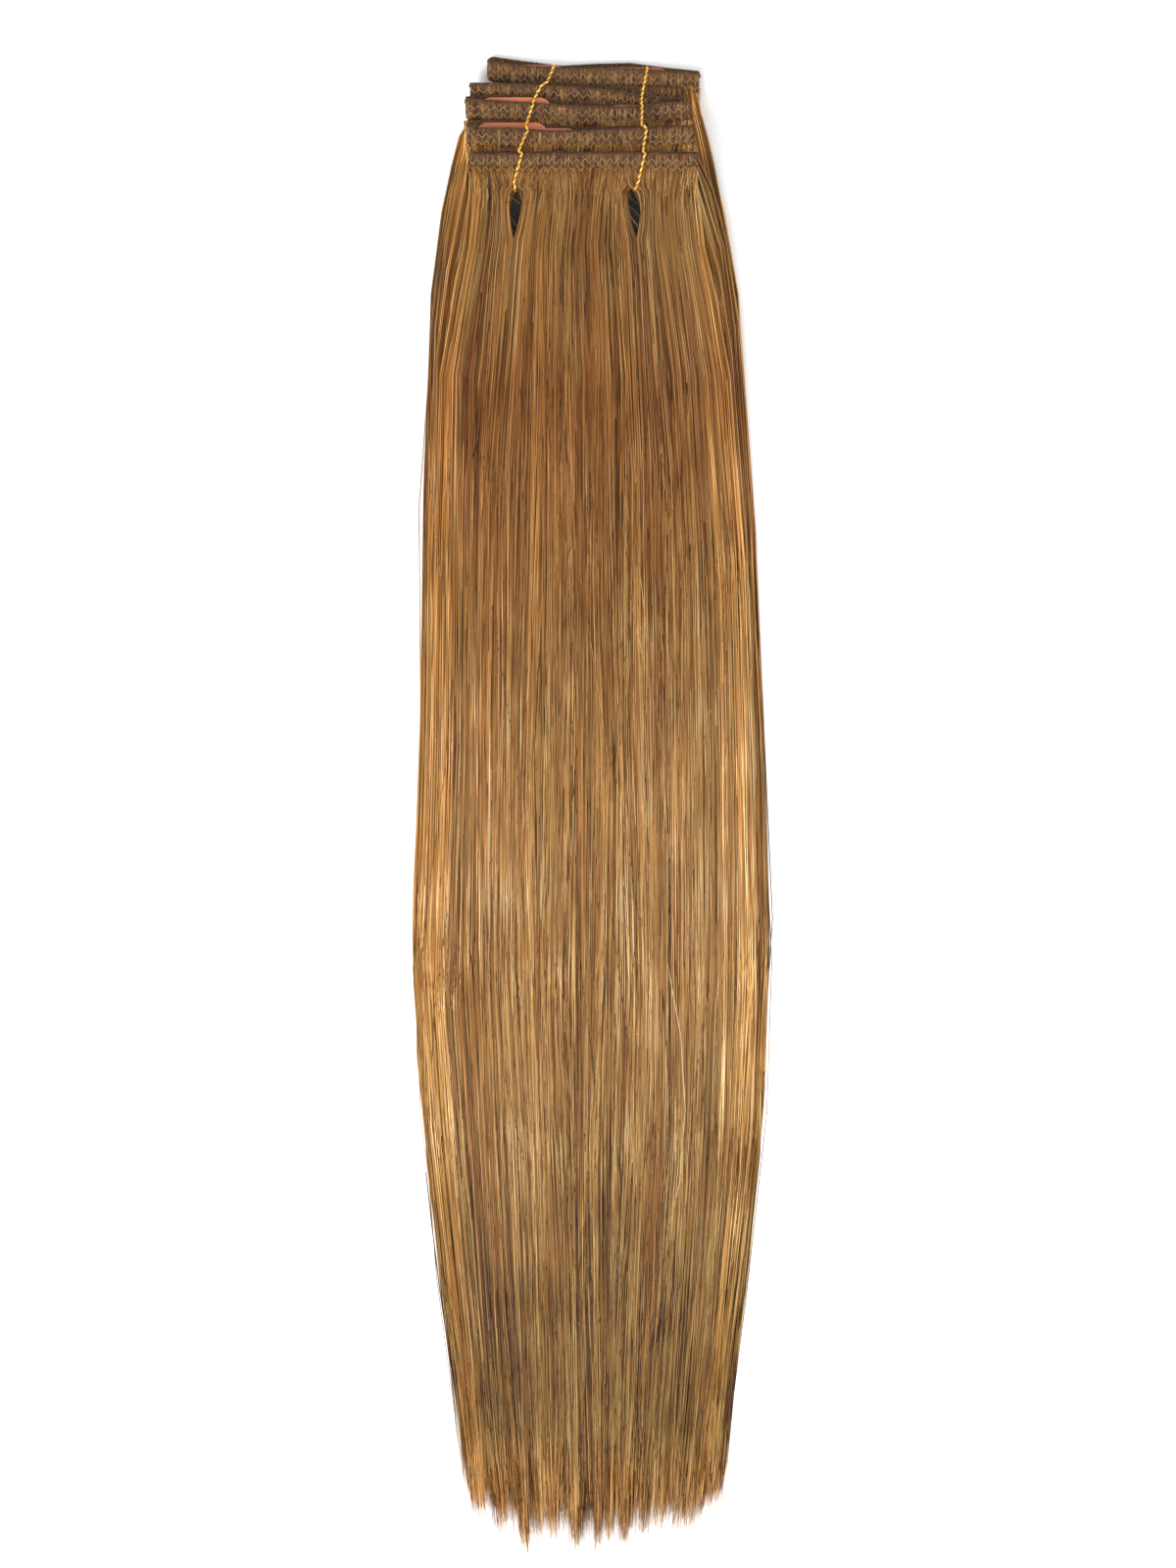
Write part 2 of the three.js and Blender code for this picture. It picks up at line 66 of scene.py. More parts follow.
# ---- The view: straight down, on a plain white table, under a soft box and white walls. The camera
# stands far off, so that the raised bands and the flat tips keep one scale.
def linear(code):
    """An sRGB hex colour as Blender's linear one."""
    channels = [int(code[place:place + 2], 16) / 255 for place in (1, 3, 5)]
    return [c / 12.92 if c <= 0.04045 else ((c + 0.055) / 1.055) ** 2.4 for c in channels] + [1]


def add(tree, kind, inputs=None, **settings):
    """A node of that kind in a tree, with its settings, and its inputs as values or links."""
    node = tree.nodes.new(kind)
    for name, value in settings.items():
        setattr(node, name, value)
    for key, value in (inputs or {}).items():
        if isinstance(value, bpy.types.NodeSocket):
            tree.links.new(value, node.inputs[key])
        else:
            node.inputs[key].default_value = value
    return node


def ramp(tree, factor, stops):
    """A colour ramp through given stops, whose colours are hex codes or greys."""
    node = add(tree, "ShaderNodeValToRGB", {"Fac": factor})
    elements = node.color_ramp.elements
    while len(elements) < len(stops):
        elements.new(0.5)
    for element, (place, colour) in zip(elements, stops):
        element.position = place
        element.color = linear(colour) if isinstance(colour, str) else (colour, colour, colour, 1)
    return node.outputs[0]


def new_material(name):
    """An empty material: its tree, and the shader that the rest of it feeds."""
    material = bpy.data.materials.new(name)
    material.use_nodes = True
    tree = material.node_tree
    tree.nodes.clear()
    shader = add(tree, "ShaderNodeBsdfPrincipled")
    add(tree, "ShaderNodeOutputMaterial", {"Surface": shader.outputs["BSDF"]})
    return material, tree, shader


table_paint, _, paint_shader = new_material("white_studio_table")
paint_shader.inputs["Base Color"].default_value = linear("#fbfbfa")
paint_shader.inputs["Roughness"].default_value = 0.9
paint_shader.inputs["Specular IOR Level"].default_value = 0.1
table_mesh = bpy.data.meshes.new("table_top")
table_mesh.from_pydata([(-6, -6, 0), (6, -6, 0), (6, 6, 0), (-6, 6, 0)], [], [(0, 1, 2, 3)])
table_mesh.materials.append(table_paint)
table_top = bpy.data.objects.new("table_top", table_mesh)
bpy.context.collection.objects.link(table_top)

FRAME_HEIGHT, CAMERA_HEIGHT = 0.608, 5.0
camera = bpy.data.objects.new("camera", bpy.data.cameras.new("camera"))
bpy.context.collection.objects.link(camera)
camera.location = (-0.0006, 0.0063, CAMERA_HEIGHT)
camera.data.sensor_width = 36
camera.data.lens = camera.data.sensor_width * CAMERA_HEIGHT / FRAME_HEIGHT
bpy.context.scene.camera = camera

for name, place, size, power in [
    ("soft_box", (-0.8, -0.9, 1.7), 1.1, 42),
    ("fill_card", (1.3, 0.4, 1.5), 1.4, 12),
]:
    light = bpy.data.lights.new(name, "AREA")
    light.size, light.energy = size, power
    lamp = bpy.data.objects.new(name, light)
    lamp.location = place
    lamp.rotation_euler = (-Vector(place)).to_track_quat("-Z", "Y").to_euler()
    bpy.context.collection.objects.link(lamp)

walls = bpy.data.worlds.new("white_walls")
walls.use_nodes = True
walls.node_tree.nodes["Background"].inputs["Color"].default_value = (1, 1, 1, 1)
walls.node_tree.nodes["Background"].inputs["Strength"].default_value = 0.85
bpy.context.scene.world = walls
bpy.context.scene.view_settings.view_transform = "Standard"


# ---- Sewn bands: the hair's roots laid side by side and sewn across in two zigzag rows, with the
# top edge overlocked into a round roll. The strip is then folded on itself like a hairpin.
BAND_WALL = 1.3 * MM
RIB_PITCH, LOOP_PITCH = 0.7 * MM, 0.62 * MM
STITCH_LENGTH, STITCH_SWING, STITCH_SLIP = 3.2 * MM, 1.9 * MM, 0.22 * MM
# The zigzag rows' depths below the top edge, how far they stand off the band's middle, and their
# thread's radius.
STITCH_ROWS, STITCH_STAND, THREAD_RADIUS = (3.3 * MM, 6.1 * MM), 0.84 * MM, 0.19 * MM
# Which end of each band is its fold: the left one (-1) or the right one (1), the rearmost first.
FOLD_SIDE = {"back": -1, "second": 1, "third": 1, "fourth": -1, "front": -1}


def closed_sheet(upper, lower):
    """Two faces over one grid (columns, rows, xyz), joined round the rim: points and quads."""
    columns, rows = upper.shape[:2]
    number = np.arange(columns * rows).reshape(columns, rows)
    under = number + columns * rows
    quads = [
        np.stack([number[:-1, :-1], number[:-1, 1:], number[1:, 1:], number[1:, :-1]], -1),
        np.stack([under[:-1, :-1], under[1:, :-1], under[1:, 1:], under[:-1, 1:]], -1),
    ]
    rim = np.concatenate([number[0], number[1:, -1], number[-1, -2::-1], number[-2:0:-1, 0]])
    after = np.roll(rim, -1)
    walls = np.stack([rim, rim + columns * rows, after + columns * rows, after], -1)
    faces = np.concatenate([part.reshape(-1, 4) for part in quads] + [walls])
    return np.concatenate([upper.reshape(-1, 3), lower.reshape(-1, 3)]), faces


def tubes(paths, radii, sides):
    """Closed tubes along many paths (tube, ring, xyz) with a radius at each ring: points and faces."""
    count, rings = paths.shape[:2]
    along = np.gradient(paths, axis=1)
    along /= np.linalg.norm(along, axis=2, keepdims=True)
    across = np.cross(along, [0.0, 0.0, 1.0])
    across /= np.linalg.norm(across, axis=2, keepdims=True)
    out = np.cross(across, along)
    angles = 2 * np.pi * np.arange(sides) / sides + np.pi / 2
    ring = np.cos(angles)[:, None] * across[:, :, None] + np.sin(angles)[:, None] * out[:, :, None]
    points = paths[:, :, None] + radii[..., None, None] * ring
    number = np.arange(count * rings * sides).reshape(count, rings, sides)
    turned = np.roll(number, -1, axis=2)
    quads = np.stack([number[:, :-1], turned[:, :-1], turned[:, 1:], number[:, 1:]], -1)
    caps = [number[:, 0, ::-1], number[:, -1]]
    return points.reshape(-1, 3), quads.reshape(-1, 4), [cap.reshape(-1, sides) for cap in caps]


def plain_mesh(name, points, faces, material):
    """A smooth mesh with one material, from points and several lists of faces."""
    mesh = bpy.data.meshes.new(name)
    mesh.from_pydata(points.tolist(), [], [face for part in faces for face in part.tolist()])
    mesh.shade_smooth()
    mesh.materials.append(material)
    return mesh


def piece_of(name, mesh, slot, *nodes):
    """A finished piece that stands for CAD nodes."""
    piece = bpy.data.objects.new(name, mesh)
    bpy.context.collection.objects.link(piece)
    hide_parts(*nodes)
    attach(piece, "root")


def solid_of(node):
    """A CAD node as something that rays can hit."""
    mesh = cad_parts[node].data
    return BVHTree.FromPolygons(
        [v.co for v in mesh.vertices], [list(p.vertices) for p in mesh.polygons])


def strip_route(weft):
    """The top edge of a folded band, from the free end of its back layer round to its front one."""
    node, fold = f"{weft}_weft_band", FOLD_SIDE[weft]
    low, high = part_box(node)
    solid = solid_of(node)
    levels = low.z + BAND_WALL / 2, high.z - BAND_WALL / 2
    radius = (levels[1] - levels[0]) / 2
    turn = (high.x if fold > 0 else low.x) - fold * (radius + BAND_WALL / 2)
    free = (low.x if fold > 0 else high.x) + fold * 0.3 * MM
    places = np.linspace(free, turn, 56)
    above = high.y + 10 * MM
    edges = [[solid.ray_cast((x, above, z), (0, -1, 0))[0].y for x in places] for z in levels]
    back = [(x, y, levels[0]) for x, y in zip(places, edges[0])]
    front = [(x, y, levels[1]) for x, y in zip(places, edges[1])]
    bend = []
    for angle in np.linspace(0, math.pi, 10)[1:-1]:
        x = turn + fold * radius * math.sin(angle)
        y = edges[0][-1] + (edges[1][-1] - edges[0][-1]) * angle / math.pi
        bend.append((x, y, levels[0] + radius * (1 - math.cos(angle))))
    return np.array(back + bend + front[::-1])


def new_tree(name, **kinds):
    """A geometry tree with one named input for each given kind, and the geometry in and out."""
    tree = bpy.data.node_groups.new(name, "GeometryNodeTree")
    tree.interface.new_socket("Route", in_out="INPUT", socket_type="NodeSocketGeometry")
    for title, kind in kinds.items():
        tree.interface.new_socket(title, in_out="INPUT", socket_type=f"NodeSocket{kind}")
    tree.interface.new_socket("Made", in_out="OUTPUT", socket_type="NodeSocketGeometry")
    return tree, add(tree, "NodeGroupInput").outputs


def finish_tree(tree, geometry, material):
    """The end of a geometry tree: copies made real, in one material."""
    real = add(tree, "GeometryNodeRealizeInstances", {"Geometry": geometry})
    painted = add(tree, "GeometryNodeSetMaterial", {"Geometry": real.outputs[0], "Material": material})
    add(tree, "NodeGroupOutput", {"Made": painted.outputs[0]})


def made_along(route, tree, closed=False, **values):
    """The plain mesh that a geometry tree makes along a route of points."""
    curve = bpy.data.curves.new("route", "CURVE")
    curve.dimensions = "3D"
    spline = curve.splines.new("POLY")
    spline.points.add(len(route) - 1)
    spline.points.foreach_set("co", np.c_[route, np.ones(len(route))].ravel())
    spline.use_cyclic_u = closed
    carrier = bpy.data.objects.new("route", curve)
    bpy.context.collection.objects.link(carrier)
    modifier = carrier.modifiers.new(tree.name, "NODES")
    modifier.node_group = tree
    for socket in tree.interface.items_tree:
        if socket.name in values:
            modifier[socket.identifier] = values[socket.name]
    evaluated = carrier.evaluated_get(bpy.context.evaluated_depsgraph_get())
    mesh = bpy.data.meshes.new_from_object(evaluated)
    bpy.data.objects.remove(carrier)
    return mesh


def strip_normal(tree):
    """In a tree, the direction that a standing strip faces along its route."""
    tangent = add(tree, "GeometryNodeInputTangent").outputs[0]
    face = add(tree, "ShaderNodeVectorMath", {0: tangent, 1: (0, 1, 0)}, operation="CROSS_PRODUCT")
    normal = add(tree, "ShaderNodeVectorMath", {0: face.outputs[0]}, operation="NORMALIZE")
    return tangent, normal.outputs[0]


def zigzag_tree():
    """A sewing thread that swings up and down beside its route."""
    tree, given = new_tree("zigzag_stitch", Length="Float", Swing="Float", Down="Float",
                           Stand="Float", Thread="Float", Material="Material")
    half = add(tree, "ShaderNodeMath", {0: given["Length"], 1: 0.5}, operation="MULTIPLY")
    steps = add(tree, "GeometryNodeResampleCurve", {
        "Curve": given["Route"], "Length": half.outputs[0]}, mode="LENGTH")
    index = add(tree, "GeometryNodeInputIndex")
    odd = add(tree, "ShaderNodeMath", {0: index.outputs[0], 1: 2.0}, operation="MODULO")
    side = add(tree, "ShaderNodeMath", {0: odd.outputs[0], 1: 0.5}, operation="SUBTRACT")
    swing = add(tree, "ShaderNodeMath", {0: side.outputs[0], 1: given["Swing"]}, operation="MULTIPLY")
    slip = add(tree, "FunctionNodeRandomValue", {2: -STITCH_SLIP, 3: STITCH_SLIP, "Seed": 3},
               data_type="FLOAT")
    loose = add(tree, "ShaderNodeMath", {0: swing.outputs[0], 1: slip.outputs[1]}, operation="ADD")
    height = add(tree, "ShaderNodeMath", {0: loose.outputs[0], 1: given["Down"]}, operation="SUBTRACT")
    _, normal = strip_normal(tree)
    stand = add(tree, "ShaderNodeVectorMath", {0: normal, "Scale": given["Stand"]}, operation="SCALE")
    rise = add(tree, "ShaderNodeCombineXYZ", {"Y": height.outputs[0]})
    offset = add(tree, "ShaderNodeVectorMath", {0: stand.outputs[0], 1: rise.outputs[0]},
                 operation="ADD")
    moved = add(tree, "GeometryNodeSetPosition", {
        "Geometry": steps.outputs[0], "Offset": offset.outputs[0]})
    round_thread = add(tree, "GeometryNodeCurvePrimitiveCircle", {
        "Resolution": 5, "Radius": given["Thread"]})
    thread = add(tree, "GeometryNodeCurveToMesh", {
        "Curve": moved.outputs[0], "Profile Curve": round_thread.outputs[0], "Fill Caps": True})
    finish_tree(tree, thread.outputs[0], given["Material"])
    return tree


def row_tree():
    """Copies of one small shape, side by side along a standing strip, each tilted a little."""
    tree, given = new_tree("row_along_strip", Pitch="Float", Shape="Object", Lean="Float",
                           Scatter="Float", Seed="Int", Material="Material")
    steps = add(tree, "GeometryNodeResampleCurve", {
        "Curve": given["Route"], "Length": given["Pitch"]}, mode="LENGTH")
    tangent, _ = strip_normal(tree)
    turned = add(tree, "FunctionNodeAlignRotationToVector", {"Vector": tangent},
                 axis="X", pivot_axis="Y")
    chance = add(tree, "FunctionNodeRandomValue", {2: -1.0, 3: 1.0, "Seed": given["Seed"]},
                 data_type="FLOAT")
    tilt = add(tree, "ShaderNodeMath", {0: chance.outputs[1], 1: given["Scatter"], 2: given["Lean"]},
               operation="MULTIPLY_ADD")
    lean = add(tree, "ShaderNodeCombineXYZ", {"Z": tilt.outputs[0]})
    about = add(tree, "FunctionNodeEulerToRotation", {0: lean.outputs[0]})
    rotation = add(tree, "FunctionNodeRotateRotation", {
        "Rotation": turned.outputs[0], "Rotate By": about.outputs[0]}, rotation_space="LOCAL")
    stretch = add(tree, "FunctionNodeRandomValue", {
        0: (0.8, 0.93, 0.85), 1: (1.25, 1.05, 1.12), "Seed": given["Seed"]}, data_type="FLOAT_VECTOR")
    shape = add(tree, "GeometryNodeObjectInfo", {"Object": given["Shape"]})
    row = add(tree, "GeometryNodeInstanceOnPoints", {
        "Points": steps.outputs[0], "Instance": shape.outputs["Geometry"],
        "Rotation": rotation.outputs[0], "Scale": stretch.outputs[0]})
    finish_tree(tree, row.outputs[0], given["Material"])
    return tree


def shape_of(name, path, radii, depth, material):
    """A small round shape to repeat, flattened or thickened through the strip."""
    points, quads, caps = tubes(np.array([path]), np.array([radii]), 5)
    points[:, 2] *= depth
    return bpy.data.objects.new(name, plain_mesh(name, points, [quads, *caps], material))


def fused(name, parts):
    """Several meshes as one, each with its own material slot."""
    form = bmesh.new()
    whole = bpy.data.meshes.new(name)
    for slot, mesh in enumerate(parts):
        first = len(form.faces)
        form.from_mesh(mesh)
        form.faces.ensure_lookup_table()
        for face in form.faces[first:]:
            face.material_index = slot
        whole.materials.append(mesh.materials[0])
    form.to_mesh(whole)
    form.free()
    whole.shade_smooth()
    return whole


# Human hair packed flat and held by thread: matt, brown, each rib a little lighter or darker than
# the next, which gives the eye fine upright ribs.
sewn_hair, tree, shader = new_material("sewn_human_hair")
place = add(tree, "ShaderNodeTexCoord").outputs["Object"]
ribs = add(tree, "ShaderNodeMapping", {
    "Vector": place, "Scale": (1 / RIB_PITCH, 1 / (6 * MM), 1 / (3 * MM))})
ribs_noise = add(tree, "ShaderNodeTexNoise", {"Vector": ribs.outputs[0], "Scale": 1.0, "Detail": 3.0})
rib_colour = ramp(tree, ribs_noise.outputs[0], [
    (0.3, "#2b1a0d"), (0.44, "#4f341d"), (0.56, "#6e4c2a"), (0.72, "#9a7541")])
tree.links.new(rib_colour, shader.inputs["Base Color"])
shader.inputs["Roughness"].default_value = 0.6
shader.inputs["Specular IOR Level"].default_value = 0.2
relief = add(tree, "ShaderNodeBump", {
    "Height": ribs_noise.outputs[0], "Strength": 0.5, "Distance": 0.2 * MM})
tree.links.new(relief.outputs[0], shader.inputs["Normal"])

# Brown polyester thread wound closely round the top edge: a duller, purplish brown than the hair.
edge_thread, tree, shader = new_material("overlock_thread")
place = add(tree, "ShaderNodeTexCoord").outputs["Object"]
lie = add(tree, "ShaderNodeTexNoise", {"Vector": place, "Scale": 900.0, "Detail": 2.0})
edge_colour = ramp(tree, lie.outputs[0], [(0.3, "#38251b"), (0.7, "#654932")])
tree.links.new(edge_colour, shader.inputs["Base Color"])
shader.inputs["Roughness"].default_value = 0.7
shader.inputs["Specular IOR Level"].default_value = 0.2

# Tan polyester sewing thread, drawn 0.38 mm thick in place of 0.25 mm so that it shows: paler than
# the hair, with a slight sheen.
zigzag_thread, tree, shader = new_material("tan_sewing_thread")
place = add(tree, "ShaderNodeTexCoord").outputs["Object"]
lie = add(tree, "ShaderNodeTexNoise", {"Vector": place, "Scale": 500.0, "Detail": 1.0})
thread_colour = ramp(tree, lie.outputs[0], [(0.3, "#7e5e3b"), (0.7, "#b39064")])
tree.links.new(thread_colour, shader.inputs["Base Color"])
shader.inputs["Roughness"].default_value = 0.45

rib_shape = shape_of(
    "hair_rib", [(0, y * MM, 0) for y in (-1.2, -2.4, -4.2, -5.8, -6.7, -7.3)],
    [r * MM for r in (0.2, 0.36, 0.34, 0.36, 0.28, 0.1)], 1.7, sewn_hair)
loop_shape = shape_of(
    "overlock_loop", [(0, y * MM, 0) for y in (0.08, -0.15, -0.9, -1.7, -2.1)],
    [r * MM for r in (0.18, 0.36, 0.45, 0.38, 0.15)], 1.5, edge_thread)
zigzag, row = zigzag_tree(), row_tree()


def band_core(route):
    """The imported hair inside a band, a plain strip that the ribs and the roll stand on."""
    along = np.gradient(route, axis=0)
    face = np.cross(along, [0.0, 1.0, 0.0])
    face /= np.linalg.norm(face, axis=1, keepdims=True)
    depths = np.array([0.25, 1.2, 3.5, 6, 7.8]) * MM
    halves = np.array([0.3, 0.48, 0.42, 0.42, 0.25]) * MM
    middle = route[:, None] - np.array([0, 1, 0]) * depths[None, :, None]
    thick = face[:, None] * halves[None, :, None]
    points, quads = closed_sheet(middle - thick, middle + thick)
    return plain_mesh("band_core", points, [quads], sewn_hair)


for weft in FOLD_SIDE:
    route = strip_route(weft)
    parts = [
        band_core(route),
        made_along(route, row, Pitch=RIB_PITCH, Shape=rib_shape, Lean=0.0, Scatter=0.07, Seed=11,
                   Material=sewn_hair),
        made_along(route, row, Pitch=LOOP_PITCH, Shape=loop_shape, Lean=0.3, Scatter=0.12, Seed=5,
                   Material=edge_thread),
    ]
    for down in STITCH_ROWS:
        for side in (-1, 1):
            parts.append(made_along(
                route, zigzag, Length=STITCH_LENGTH, Swing=STITCH_SWING, Down=down,
                Stand=side * STITCH_STAND, Thread=THREAD_RADIUS, Material=zigzag_thread))
    node = f"{weft}_weft_band"
    piece_of(f"{node}_sewn", fused(node, parts), "band", node)


# ---- Hair: straight human hair, steamed flat and silky, held at its roots by the band. Each weft
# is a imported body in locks, with loose strands combed over it and ragged points at the tips.
# The two partings that the ties go through: their middles, and then their upper end, half width and
# length, and how far beside them the hair is drawn aside.
HOLES = [-28.69 * MM, 17.51 * MM]
HOLE_TOP, HOLE_HALF, HOLE_LENGTH, HOLE_PULL = 236.41 * MM, 2.5 * MM, 20 * MM, 9 * MM
# A strand's radius, the length over which its tail thins, and how far the root hairs reach down.
STRAND_RADIUS, TAIL_LENGTH, ROOT_LENGTH = 0.17 * MM, 60 * MM, 12 * MM
# The map's columns of tone, how far a strand's own strays from its place, and how many columns stay
# free at each side.
TONES, TONE_SPREAD, TONE_MARGIN = 256, 8, 4
# Where the first tips end: from here on the solid's width says nothing of the hair's.
FIRST_TIPS = -0.2
# How many strands each weft shows, and where: full length over its face, at its roots, down its
# sides, among its tips, over its underside, and as single hairs that stray across.
STRANDS = {
    "back": {"face": 0, "roots": 900, "sides": 540, "tips": 1400, "under": 350, "stray": 20},
    "second": {"face": 0, "roots": 900, "sides": 280, "tips": 900, "under": 0, "stray": 20},
    "third": {"face": 0, "roots": 900, "sides": 280, "tips": 900, "under": 0, "stray": 20},
    "fourth": {"face": 0, "roots": 1100, "sides": 400, "tips": 1300, "under": 0, "stray": 30},
    "front": {"face": 1750, "roots": 400, "sides": 0, "tips": 300, "under": 0, "stray": 0},
}
# The hairs that lie on top of the front weft are a piece of their own.
OVER_FRONT = {"face": 1150, "roots": 600, "sides": 300, "tips": 500, "under": 0, "stray": 160}
# How far the tips fall short of the longest ones, from the left side to the right, in millimetres.
TIP_LINE = [14, 6, 3, 3, 0, 1, 3, 5, 8, 10, 16]
# The tips of all the wefts part into the same tufts, whose middles are shares of the reach.
tuft_gaps = np.random.default_rng(40).uniform(0.2, 2.0, 17)
TUFTS = -1.02 + 2.04 * (np.cumsum(tuft_gaps) - tuft_gaps / 2) / tuft_gaps.sum()
TUFT_ENDS = np.random.default_rng(41).uniform(0, 8, len(TUFTS)) * MM


def lay_of(weft):
    """How a weft's hair lies in the CAD model: its reach to each side and its two levels, on a
    grid of shares of the reach and places along the hair."""
    node = f"{weft}_weft_hair"
    solid = solid_of(node)
    low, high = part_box(node)
    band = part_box(f"{weft}_weft_band")
    band_low, band_top = band[0].y, band[1].z
    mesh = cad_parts[node].data
    points = np.array([v.co for v in mesh.vertices])
    corners = points[np.array([list(p.vertices) for p in mesh.polygons])]
    start = np.concatenate([corners[:, 0], corners[:, 1], corners[:, 2]])
    end = np.concatenate([corners[:, 1], corners[:, 2], corners[:, 0]])
    places = np.linspace(band_low - 1 * MM, cad_box[0].y, 72)
    middle = (cad_box[0].x + cad_box[1].x) / 2 + 0.35 * MM
    reach = []
    for y in places:
        crossing = (start[:, 1] - y) * (end[:, 1] - y) < 0
        share = (y - start[crossing, 1]) / (end[crossing, 1] - start[crossing, 1])
        x = start[crossing, 0] + share * (end[crossing, 0] - start[crossing, 0])
        reach.append((middle - x.min(), x.max() - middle) if len(x) else (0, 0))
    reach = np.array(reach)
    # Below the first tips the sides keep drawing in as they did above them.
    full = int(np.searchsorted(-places, -FIRST_TIPS))
    slope = (reach[full] - reach[full - 8]) / 8
    reach[full:] = reach[full] + slope * np.arange(len(places) - full)[:, None]
    for _ in range(12):
        reach[15:-1] = (reach[14:-2] + 2 * reach[15:-1] + reach[16:]) / 4
    shares = np.linspace(-0.985, 0.985, 47)
    levels = np.full((2, len(shares), len(places)), np.nan)
    for row_number, y in enumerate(places):
        for column, share in enumerate(shares):
            x = middle + share * reach[row_number][0 if share < 0 else 1]
            for side, (z, down) in enumerate([(high.z + 0.01, -1), (low.z - 0.01, 1)]):
                hit = solid.ray_cast((x, y, z), (0, 0, down))[0]
                if hit:
                    levels[side, column, row_number] = hit.z
    for grid in levels:
        for row_number in range(len(places)):
            column = grid[:, row_number]
            known = ~np.isnan(column)
            if known.sum() > 3:
                column[~known] = np.interp(shares[~known], shares[known], column[known])
            elif row_number:
                column[:] = grid[:, row_number - 1]
        for _ in range(3):
            grid[1:-1] = (grid[:-2] + 2 * grid[1:-1] + grid[2:]) / 4
        grid[:, 1:-1] = (grid[:, :-2] + 2 * grid[:, 1:-1] + grid[:, 2:]) / 4
    return {"places": places, "shares": shares, "reach": reach, "levels": levels, "middle": middle,
            "band_low": band_low, "band_top": band_top}


def level_at(lay, side, share, y):
    """One face's level (0 upper, 1 lower) at shares of the reach and places along the hair."""
    grid, shares, places = lay["levels"][side], lay["shares"], lay["places"]
    across = np.clip((share - shares[0]) / (shares[1] - shares[0]), 0, len(shares) - 1.001)
    along = np.clip((places[0] - y) / (places[0] - places[1]), 0, len(places) - 1.001)
    i, j = across.astype(int), along.astype(int)
    a, b = across - i, along - j
    return ((grid[i, j] * (1 - a) + grid[i + 1, j] * a) * (1 - b)
            + (grid[i, j + 1] * (1 - a) + grid[i + 1, j + 1] * a) * b)


def reach_at(lay, side, y):
    """How far the hair reaches on one side (0 left, 1 right) at places along it."""
    return np.interp(-y, -lay["places"], lay["reach"][:, int(side)])


def hole_share(lay, hole):
    """A hole's place as a share of the hair's reach."""
    side = 0 if hole < lay["middle"] else 1
    return (hole - lay["middle"]) / reach_at(lay, side, np.array(HOLE_TOP - HOLE_LENGTH / 2))


def across_at(lay, share, y, beside=None):
    """The place across the bundle, parted round the two holes. beside is which side of a hole a
    point on its own line belongs to."""
    reach = np.where(share < 0, reach_at(lay, 0, y), reach_at(lay, 1, y))
    x = lay["middle"] + share * reach
    down = HOLE_TOP - y
    top = np.sqrt(np.clip(HOLE_HALF ** 2 - (HOLE_HALF - down) ** 2, 0, None))
    below = HOLE_HALF * (1 - np.clip((down - HOLE_HALF) / (HOLE_LENGTH - HOLE_HALF), 0, 1) ** 2)
    open_by = np.where((down < 0) | (down > HOLE_LENGTH), 0, np.where(down < HOLE_HALF, top, below))
    for hole in HOLES:
        line = hole_share(lay, hole)
        centre = lay["middle"] + line * reach
        side = np.sign(share - line)
        side = np.where(side == 0, beside if beside is not None else 1, side)
        away = np.abs(x - centre)
        pulled = centre + side * (open_by + away * (1 - open_by / HOLE_PULL))
        x = np.where(away < HOLE_PULL, pulled, x)
    return x


def along_at(y):
    """The place along the whole bundle, 0 at the bands and 1 at the tips."""
    return np.clip((cad_box[1].y - y) / (cad_box[1].y - cad_box[0].y), 0.004, 0.996)


def tip_line(share):
    """Where the longest tips end, at shares of the reach."""
    return cad_box[0].y - 14 * MM + np.interp(share, np.linspace(-1, 1, len(TIP_LINE)), TIP_LINE) * MM


def body_lobe(lay, left, right, chance):
    """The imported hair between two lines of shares, with its own map."""
    shares = np.linspace(left, right, max(6, int((right - left) * 26)))
    upper_part = np.linspace(lay["places"][0] + 0.5 * MM, HOLE_TOP + 1.5 * MM, 5)
    beside_hole = HOLE_TOP - np.linspace(0, HOLE_LENGTH + 4 * MM, 16)
    fixed = np.tile(np.concatenate([upper_part, beside_hole]), (len(shares), 1))
    end = tip_line(shares) + chance.uniform(32, 46, len(shares)) * MM
    ease = np.linspace(0, 1, 46)[1:]
    y = np.concatenate([fixed, fixed[:, -1:] + (end[:, None] - fixed[:, -1:]) * ease], axis=1)
    share = np.repeat(shares[:, None], y.shape[1], axis=1)
    beside = np.zeros_like(share)
    beside[0], beside[-1] = 1, -1
    x = across_at(lay, share, y, beside)
    upper, lower = level_at(lay, 0, share, y), level_at(lay, 1, share, y)
    # It is rounded at the bundle's sides, runs out thin at the tips, and lies a little below the
    # strands that cover it, most of all at the roots.
    round_off = np.sqrt(np.clip(1 - (np.clip(np.abs(share) - 0.86, 0, None) / 0.15) ** 2, 0.02, 1))
    thin = 1 - 0.8 * np.clip((end[:, None] + 50 * MM - y) / (50 * MM), 0, 1)
    middle = (upper + lower) / 2
    half = (upper - lower) / 2 * round_off * thin
    sunk = 0.42 * thin + 0.9 * np.clip(1 - (lay["band_low"] - y) / (18 * MM), 0, 1)
    top = np.stack([x, y, middle + half - sunk * MM], -1)
    bottom = np.stack([x, y, np.minimum(middle - half + 0.12 * MM, top[..., 2] - 0.1 * MM)], -1)
    points, quads = closed_sheet(top, bottom)
    u, v = 0.5 + 0.48 * share, along_at(y)
    maps = np.concatenate([
        np.stack([u, v], -1).reshape(-1, 2),
        np.stack([0.5 + (u - 0.5) * 0.985, v * 0.99 + 0.005], -1).reshape(-1, 2)])
    return points, quads, maps[quads]


